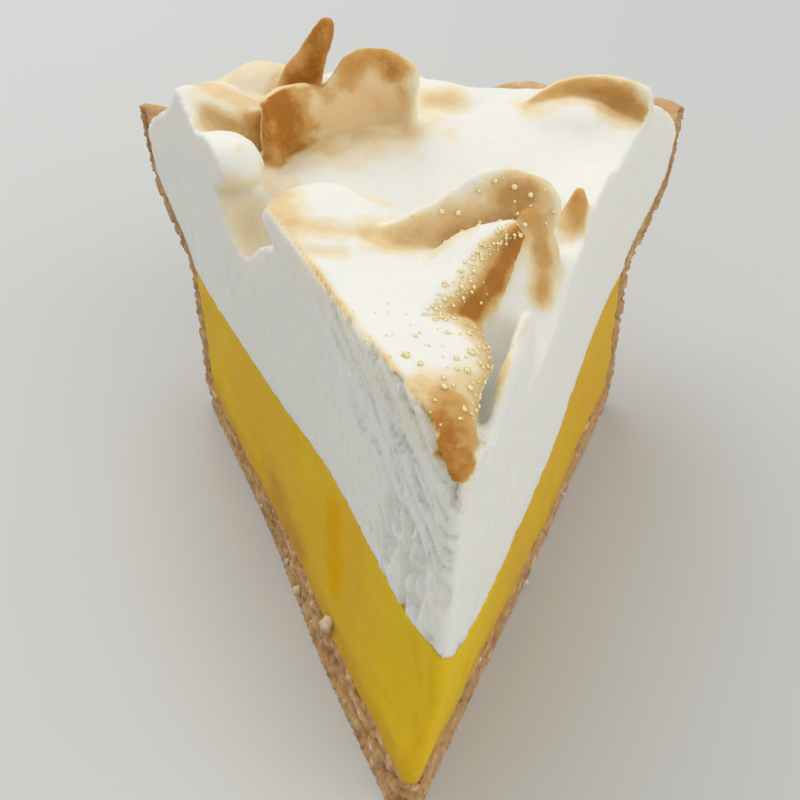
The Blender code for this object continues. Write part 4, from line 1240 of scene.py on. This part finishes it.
class PIE_OT_filling(Operator):
    """Builds the lemon curd between the pastry and the meringue"""

    bl_idname = "pie.filling"
    bl_label = "Lemon filling"
    bl_options = {"REGISTER", "UNDO"}

    def execute(self, context):
        sizes, looks = context.scene.pie_sizes, context.scene.pie_filling
        outline = inside_outline(sizes, 0.0, sizes.filling_top)
        shape = turned(outline, lambda point, angle: curd_top(sizes, point, angle))
        made = new_object("lemon_curd", shape)
        points, normals = slice_off(made, sizes, sizes.fineness * CURD_FINENESS, 2)
        depth, along, side, _ = cut_depth(sizes, points)
        on_cut = 1.0 - smooth(*SURFACE_DEPTHS, depth)
        laid = laid_flat(along, points[:, 2], side)
        drag, slump = noise_at(laid, *DRAG), noise_at(laid, *SLUMP)
        smeared = looks.smear * drag + SLUMP_HEIGHT * slump - CURD_SUNK
        shift(made, points, normals, on_cut * smeared)
        set_mask(made.data, "point", 1.0 - smooth(*PALE_FROM, points[:, 1]))
        set_mask(made.data, "thin", np.minimum(THIN_STRENGTH * near(points, *THIN), 1.0))
        low = LOW_STAIN * (1.0 - smooth(*LOW_HEIGHTS, points[:, 2] + LOW_RAGGED * drag))
        on_right = np.where(side > 0.0, RIGHT_STAIN * smooth(*RIGHT_FROM, points[:, 1]), 0.0)
        stained = np.maximum(np.maximum(near(points, *STAINED), low), on_right)
        set_mask(made.data, "stained", stained * on_cut)
        place_piece(made, "filling", filling_material(looks), sizes)
        return {"FINISHED"}


FOLDS_FINENESS, MERINGUE_FINENESS = 1.17, 1.11  # times the smallest faces, before and after the cuts
BED_INSET = -0.0001  # how far the meringue sinks into what it lies on
TEARS_RISE, TEARS_RISE_HIGH, TEARS_HIGH = 0.35, 1.3, 0.046  # how tears slope, more so high up
TEARS_OPEN, PATCHES_OPEN = (0.0, 0.5), (-0.25, 0.35)  # noise over which they open
HOLES_OPEN, HOLES_SHARE = (0.25, 0.6), 0.8  # the same, and how deep holes are beside the tears
CALM, TORN_MORE = 0.15, 1.5  # share of the tear depth all over, and what is added near the point
TORN_POINT = (0.012, 0.034)  # distances along the cut over which that goes
TORN_TOP, TORN_TOP_FROM, TORN_TOP_GOES = 0.7, (0.040, 0.054), (0.026, 0.044)
LEFT_MORE, RIGHT_LESS = 0.5, 0.25
GRAIN_HEIGHT = 0.00008
CREASE_FACES = (0.0, 0.5)  # how squarely a surface must face up to be creased
EDGE_DEPTHS, EDGE_FROM, EDGE_GOES = (0.0005, 0.0016), (0.057, 0.061), (0.042, 0.052)
EDGE_LEFT, EDGE_RIGHT = 0.70, 0.10  # how browned the lobe's edge is along each cut, with painted shade where it rounds over, more on the left
EDGE_USUAL, EDGE_UNEVEN, EDGE_MOST = 0.85, 0.5, 1.1  # how patchy that is
CUT_PALES = 0.85  # share of the baking that a cut loses
OVER_CUT = (0.25, 0.60)  # shares of the point's own browning over which it shows on the cut


def torn(points, along, side):
    """How torn the cut foam is: drawn-out tears and small holes, most near the point and its top."""
    height = points[:, 2]
    drawn = along - TEARS_RISE * height - TEARS_RISE_HIGH * np.clip(height - TEARS_HIGH, 0.0, None)
    laid = laid_flat(drawn, height, side)
    tears = smooth(*TEARS_OPEN, noise_at(laid, *TEARS))
    patches = smooth(*PATCHES_OPEN, noise_at(laid, *TORN_PATCHES))
    holes = HOLES_SHARE * smooth(*HOLES_OPEN, noise_at(laid, *HOLES))
    near_point = 1.0 - smooth(*TORN_POINT, along)
    near_top = TORN_TOP * smooth(*TORN_TOP_FROM, height) * (1.0 - smooth(*TORN_TOP_GOES, along))
    more = TORN_MORE * np.maximum(near_point, near_top) * (LEFT_MORE - RIGHT_LESS * side)
    return (tears * patches + holes) * (CALM + more)


def baked_skin(looks, points, normals):
    """The relief of the baked surface: soft waves, grain and creases."""
    skin = looks.ripple * noise_at(points, *WAVES) + GRAIN_HEIGHT * noise_at(points, *GRAIN)
    for path, width, sunk in CREASED:
        gap = from_path(points, path)
        crease = np.exp(-((gap / (width * MM)) ** 2)) * smooth(*CREASE_FACES, normals[:, 2])
        skin -= sunk * MM * crease
    return skin


def edge_browning_and_shade(points, depth, side):
    """How browned the thin edge of the front lobe is along the cuts, with painted shade where it rounds
    over.
    """
    edge = (1.0 - smooth(*EDGE_DEPTHS, depth)) * smooth(*EDGE_FROM, points[:, 2])
    edge *= (1.0 - smooth(*EDGE_GOES, points[:, 1])) * np.where(side < 0.0, EDGE_LEFT, EDGE_RIGHT)
    patches = EDGE_USUAL + EDGE_UNEVEN * noise_at(points, *EDGE_PATCHES)
    return edge * np.clip(patches, 0.0, EDGE_MOST)


class PIE_OT_meringue(Operator):
    """Builds the meringue: its mass, folds and curls, cut through and browned"""

    bl_idname = "pie.meringue"
    bl_label = "Meringue"
    bl_options = {"REGISTER", "UNDO"}

    def execute(self, context):
        sizes, looks = context.scene.pie_sizes, context.scene.pie_meringue

        def bed_shape(point, angle):
            return curd_top(sizes, crimp(sizes, point, angle), angle)

        space = new_object("between_the_cuts", slice_space(sizes))
        bed = new_object("bed", turned(bed_outline(sizes, BED_INSET), bed_shape))
        made = new_object("meringue_topping", meringue_shape())
        remesh(made, sizes.fineness * FOLDS_FINENESS, 4)
        cut(made, "INTERSECT", space)
        cut(made, "DIFFERENCE", bed)
        apply_modifiers(made)
        remesh(made, sizes.fineness * MERINGUE_FINENESS, 1)
        apply_modifiers(made)
        remove(space, bed)
        points, normals = points_of(made.data), normals_of(made.data)
        depth, along, side, facing = cut_depth(sizes, points)
        faces_out = smooth(*FOAM_FACES, (normals * facing).sum(axis=1))
        on_cut = (1.0 - smooth(*FOAM_DEPTHS, depth)) * faces_out
        inward = looks.tear * torn(points, along, side)
        skin = baked_skin(looks, points, normals)
        shift(made, points, normals, -on_cut * inward + (1.0 - on_cut) * skin)
        path, reach, strength = POINT_BROWNED
        over_cut = strength * smooth(*OVER_CUT, near(points, path, reach))
        # browning of the skin, with painted shade from the shade strokes and the lobe's rounded edge
        darkening = np.maximum(browning_and_shade(points, normals), edge_browning_and_shade(points, depth, side))
        set_mask(made.data, "darkening", np.maximum(darkening * (1.0 - CUT_PALES * on_cut), over_cut))
        set_mask(made.data, "cut_face", on_cut)
        place_piece(made, "meringue", meringue_material(looks), sizes)
        return {"FINISHED"}


# Where the syrup beads sit: a path in millimetres, reach, how many, the way they face, and how
# large the largest are beside the largest of all.
BEADED = (
    (((5.0, 11.0, 62.0), (5.0, 21.0, 63.0)), 5.6, 34, (0.0, -0.3, 1.0), 0.7),
    (((7.6, 11.0, 62.6), (8.8, 18.0, 62.6), (8.0, 27.0, 62.5)), 2.2, 44, (0.3, -0.3, 0.8), 0.7),
    (((2.6, 28.0, 63.0), (6.8, 36.0, 65.0), (13.6, 43.2, 67.0)), 1.6, 90, (-0.3, -0.2, 0.9), 0.75),
    (((4.0, 26.0, 62.0), (8.0, 33.0, 63.5)), 3.4, 26, (0.2, -0.6, 0.7), 0.6),
    (((-2.0, 46.0, 62.5), (8.0, 48.0, 66.0), (16.0, 48.0, 67.5)), 5.0, 16, (0.0, -0.8, 0.6), 0.6),
    (((-2.0, 14.0, 63.0), (-4.0, 26.0, 63.5)), 5.0, 14, (0.0, 0.0, 1.0), 0.4),
)
# The largest beads: a place in millimetres, and its size beside the largest of all.
LARGE_BEADS = (
    (3.0, 12.7, 64, 1.0), (-0.6, 18.3, 65, 0.95), (0.7, 16.2, 65, 0.8), (6.8, 20.3, 65, 1.0),
    (6.5, 24.5, 64, 0.85), (6.2, 16.6, 65, 0.9), (4.9, 18.3, 65, 0.8), (6.0, 13.7, 64, 0.9),
    (4.7, 16.6, 65, 0.65), (3.5, 14.5, 65, 0.7), (5.3, 10.3, 64, 0.85), (4.7, 8.1, 63, 0.8),
    (7.6, 18.7, 64, 0.75), (8.2, 16.2, 63, 0.7), (8.3, 14.2, 63, 0.6), (7.8, 12.0, 63, 0.6),
    (3.8, 46.5, 65.3, 0.95), (6.2, 46.5, 65.0, 1.0), (8.8, 46.5, 65.3, 1.0), (6.7, 46.5, 62.0, 1.0),
    (4.5, 46.5, 61.0, 1.0), (9.1, 46.5, 63.3, 0.8), (10.8, 47.0, 68.9, 0.9), (12.6, 47.0, 68.8, 1.0),
    (14.4, 47.0, 67.9, 0.9), (11.2, 46.5, 65.6, 0.9), (13.2, 46.5, 65.6, 0.7), (8.7, 47.0, 67.9, 0.8),
    (14.4, 44.0, 65.5, 0.8), (11.1, 42.0, 65.5, 0.8), (8.9, 37.7, 65, 0.75), (7.7, 35.6, 65, 0.8),
    (5.8, 33.0, 64, 0.8), (4.2, 30.6, 64, 0.75), (3.2, 27.7, 63, 0.9), (6.9, 31.2, 64, 0.7),
    (5.0, 28.6, 63.6, 0.7), (8.0, 33.2, 64, 0.7),
)


BEAD_FACING = 0.35  # how squarely a surface must face a bead's way to carry it
MOST_SMALL = 1.8  # over 1, so that most beads are small
BEAD_FLAT, BEAD_SUNK = 0.75, 0.35  # a bead's height, and where its middle is, beside its radius


def add_bead(bm, place, normal, radius):
    """A round bead, a little sunk and flattened against the surface."""
    turn = Vector(normal).to_track_quat("Z", "Y").to_matrix().to_4x4()
    size = Matrix.Diagonal((1.0, 1.0, BEAD_FLAT, 1.0))
    at = Matrix.Translation(Vector(place) + Vector(normal) * radius * BEAD_SUNK)
    bmesh.ops.create_icosphere(bm, subdivisions=2, radius=radius, matrix=at @ turn @ size)


class PIE_OT_syrup(Operator):
    """Sets golden beads of syrup on the lobe, the crest and the flap"""

    bl_idname = "pie.syrup"
    bl_label = "Syrup beads"
    bl_options = {"REGISTER", "UNDO"}

    def execute(self, context):
        sizes, looks = context.scene.pie_sizes, context.scene.pie_syrup
        topping = bpy.data.objects.get("meringue_topping")
        if topping is None:
            raise RuntimeError("make the meringue before the syrup beads")
        centre = np.array(pie_centre(sizes))
        points, normals = points_of(topping.data) - centre, normals_of(topping.data)
        rng = np.random.default_rng(looks.seed)
        bm = bmesh.new()
        for path, reach, count, way, largest in BEADED:
            close = from_path(points, path) < reach * MM
            fit = np.flatnonzero(close & (normals @ unit(way) > BEAD_FACING))
            for pick in rng.choice(fit, size=count, replace=False):
                big = looks.largest * largest
                radius = looks.smallest + (big - looks.smallest) * rng.random() ** MOST_SMALL
                add_bead(bm, points[pick], normals[pick], radius)
        for x, y, z, size in LARGE_BEADS:
            pick = int(np.argmin(np.linalg.norm(points - np.array(mm(x, y, z)), axis=1)))
            add_bead(bm, points[pick], normals[pick], looks.largest * size)
        made = new_object("syrup_beads", bm)
        place_piece(made, None, syrup_material(looks), sizes)
        return {"FINISHED"}


ON_LEFT = 0.6  # share of the crumbs on the left cut
CRUMB_ALONG, CRUMB_ALONG_SPAN = 0.012, 0.075
CRUMB_LOWEST, CRUMB_HEIGHT_SPAN = 0.0010, 0.0045
CRUMB_SMALLEST, CRUMB_SIZE_SPAN = 0.0003, 0.0005
MOST_LOW, MOST_TINY = 1.5, 2  # powers over 1, so that most crumbs are low and small
LARGE_CRUMB_AT, LARGE_CRUMB = (0.0290, 0.0056), 0.0013  # distance and height on the left cut, radius
CRUMB_ROUGH, CRUMB_LUMPS = 0.45, 1.4  # how rough it is, and how fine its lumps are
CRUMB_NOISE = (0.8, 2.0, 3)
CRUMB_SEEDS = 50.0  # how far apart the crumbs' noise may be


def place_on_cut(sizes, side, y, z):
    """A place on one of the cuts."""
    slope = math.tan(sizes.slice_angle / 2.0)
    return side * (y * slope + float(spread(y, z))) + float(lean(y, z)), y, z


def add_crumb(bm, place, radius, rng):
    """A rough lump of pastry."""
    turn = Matrix.Rotation(rng.random() * math.tau, 4, Vector(rng.normal(size=3)).normalized())
    at = Matrix.Translation(place) @ turn
    made = bmesh.ops.create_icosphere(bm, subdivisions=3, radius=radius, matrix=at)
    middle = Vector(place)
    seed = Vector(rng.random(3) * CRUMB_SEEDS)
    for vert in made["verts"]:
        out = vert.co - middle
        rough = noise.fractal(out / radius * CRUMB_LUMPS + seed, *CRUMB_NOISE)
        vert.co = middle + out * (1.0 + CRUMB_ROUGH * rough)


class PIE_OT_crumbs(Operator):
    """Scatters crumbs of pastry low on the cuts"""

    bl_idname = "pie.crumbs"
    bl_label = "Pastry crumbs"
    bl_options = {"REGISTER", "UNDO"}

    def execute(self, context):
        sizes, looks = context.scene.pie_sizes, context.scene.pie_crumbs
        rng = np.random.default_rng(looks.seed)
        half = sizes.slice_angle / 2.0
        bm = bmesh.new()
        for _ in range(looks.count):
            side = -1.0 if rng.random() < ON_LEFT else 1.0
            along = CRUMB_ALONG + CRUMB_ALONG_SPAN * rng.random()
            height = CRUMB_LOWEST + CRUMB_HEIGHT_SPAN * rng.random() ** MOST_LOW
            radius = CRUMB_SMALLEST + CRUMB_SIZE_SPAN * rng.random() ** MOST_TINY
            at = place_on_cut(sizes, side, along * math.cos(half), height)
            add_crumb(bm, at, radius, rng)
        add_crumb(bm, place_on_cut(sizes, -1.0, *LARGE_CRUMB_AT), LARGE_CRUMB, rng)
        made = new_object("pastry_crumbs", bm)
        place_piece(made, None, crumb_material(looks), sizes)
        return {"FINISHED"}


FLOOR_SIZE = 6.0
LOOKED_AT = Vector((0.0, 0.055, 0.035))  # what the lights face, from the pie's middle
LIGHTS = {  # place, and tint
    "window": ((-0.35, 0.62, 0.78), (1.0, 0.985, 0.96)),
    "fill": ((0.52, -0.36, 0.56), (1.0, 0.97, 0.92)),
}
LIGHT_SIZE = 0.90
AIR_TINT = (0.96, 0.98, 0.98)
CAMERA_PLACE = Vector((-0.0015, -0.1081, 0.1700))  # from the pie's middle
CAMERA_DOWN = 41.4  # degrees below level
SENSOR_WIDTH = 36.0


def add_light(name, power, target):
    """A square soft light that looks at the slice."""
    place, tint = LIGHTS[name]
    lamp = bpy.data.lights.new(name, "AREA")
    lamp.size = LIGHT_SIZE
    lamp.energy = power
    lamp.color = tint
    made = bpy.data.objects.new(name, lamp)
    made.location = place
    made.rotation_euler = (target - Vector(place)).to_track_quat("-Z", "Y").to_euler()
    bpy.context.scene.collection.objects.link(made)


class PIE_OT_stage(Operator):
    """Sets the floor, the soft lights and the camera"""

    bl_idname = "pie.stage"
    bl_label = "Stage"
    bl_options = {"REGISTER", "UNDO"}

    def execute(self, context):
        scene, looks = context.scene, context.scene.pie_stage
        bm = bmesh.new()
        bmesh.ops.create_grid(bm, x_segments=1, y_segments=1, size=FLOOR_SIZE)
        floor = new_object("floor", bm)
        finish = Finish("floor")
        finish.set(Base_Color=rgba(looks.floor), Roughness=0.5)
        floor.data.materials.append(finish.material)
        middle = pie_centre(scene.pie_sizes)
        add_light("window", looks.window, middle + LOOKED_AT)
        add_light("fill", looks.fill, middle + LOOKED_AT)
        world = bpy.data.worlds.new("air")
        scene.world = world
        world.use_nodes = True
        air = world.node_tree.nodes["Background"]
        air.inputs["Color"].default_value = rgba(AIR_TINT)
        air.inputs["Strength"].default_value = looks.air
        scene.view_settings.view_transform = "Standard"
        lens = bpy.data.cameras.new("camera")
        lens.lens = looks.lens
        lens.sensor_width = SENSOR_WIDTH
        camera = bpy.data.objects.new("camera", lens)
        camera.location = middle + CAMERA_PLACE
        camera.rotation_euler = (math.radians(90.0 - CAMERA_DOWN), 0.0, 0.0)
        scene.collection.objects.link(camera)
        scene.camera = camera
        return {"FINISHED"}


class PIE_PT_slice(Panel):
    """Lists the slice's pieces and their settings"""

    bl_idname = "PIE_PT_slice"
    bl_label = "Pie Slice"
    bl_space_type = "VIEW_3D"
    bl_region_type = "UI"
    bl_category = "Pie Slice"

    def draw(self, context):
        layout = self.layout
        for operator, group in STEPS:
            box = layout.box()
            box.operator(operator.bl_idname)
            settings = getattr(context.scene, group)
            for name in settings.__annotations__:
                box.prop(settings, name)


# ---------------------------------------------------------------- registering and running

GROUPS = {
    "pie_sizes": PIE_sizes,
    "pie_crust": PIE_crust_looks,
    "pie_filling": PIE_filling_looks,
    "pie_meringue": PIE_meringue_looks,
    "pie_syrup": PIE_syrup_looks,
    "pie_crumbs": PIE_crumb_looks,
    "pie_stage": PIE_stage_looks,
}
STEPS = (
    (PIE_OT_crust, "pie_crust"),
    (PIE_OT_filling, "pie_filling"),
    (PIE_OT_meringue, "pie_meringue"),
    (PIE_OT_syrup, "pie_syrup"),
    (PIE_OT_crumbs, "pie_crumbs"),
    (PIE_OT_stage, "pie_stage"),
)
CLASSES = (*GROUPS.values(), *(operator for operator, _ in STEPS), PIE_PT_slice)


def register():
    for each in CLASSES:
        bpy.utils.register_class(each)
    for name, group in GROUPS.items():
        setattr(bpy.types.Scene, name, PointerProperty(type=group))


def unregister():
    for name in GROUPS:
        delattr(bpy.types.Scene, name)
    for each in reversed(CLASSES):
        bpy.utils.unregister_class(each)


def main():
    register()
    bpy.ops.pie.crust()
    bpy.ops.pie.filling()
    bpy.ops.pie.meringue()
    bpy.ops.pie.syrup()
    bpy.ops.pie.crumbs()
    bpy.ops.pie.stage()


if __name__ == "__main__":
    main()
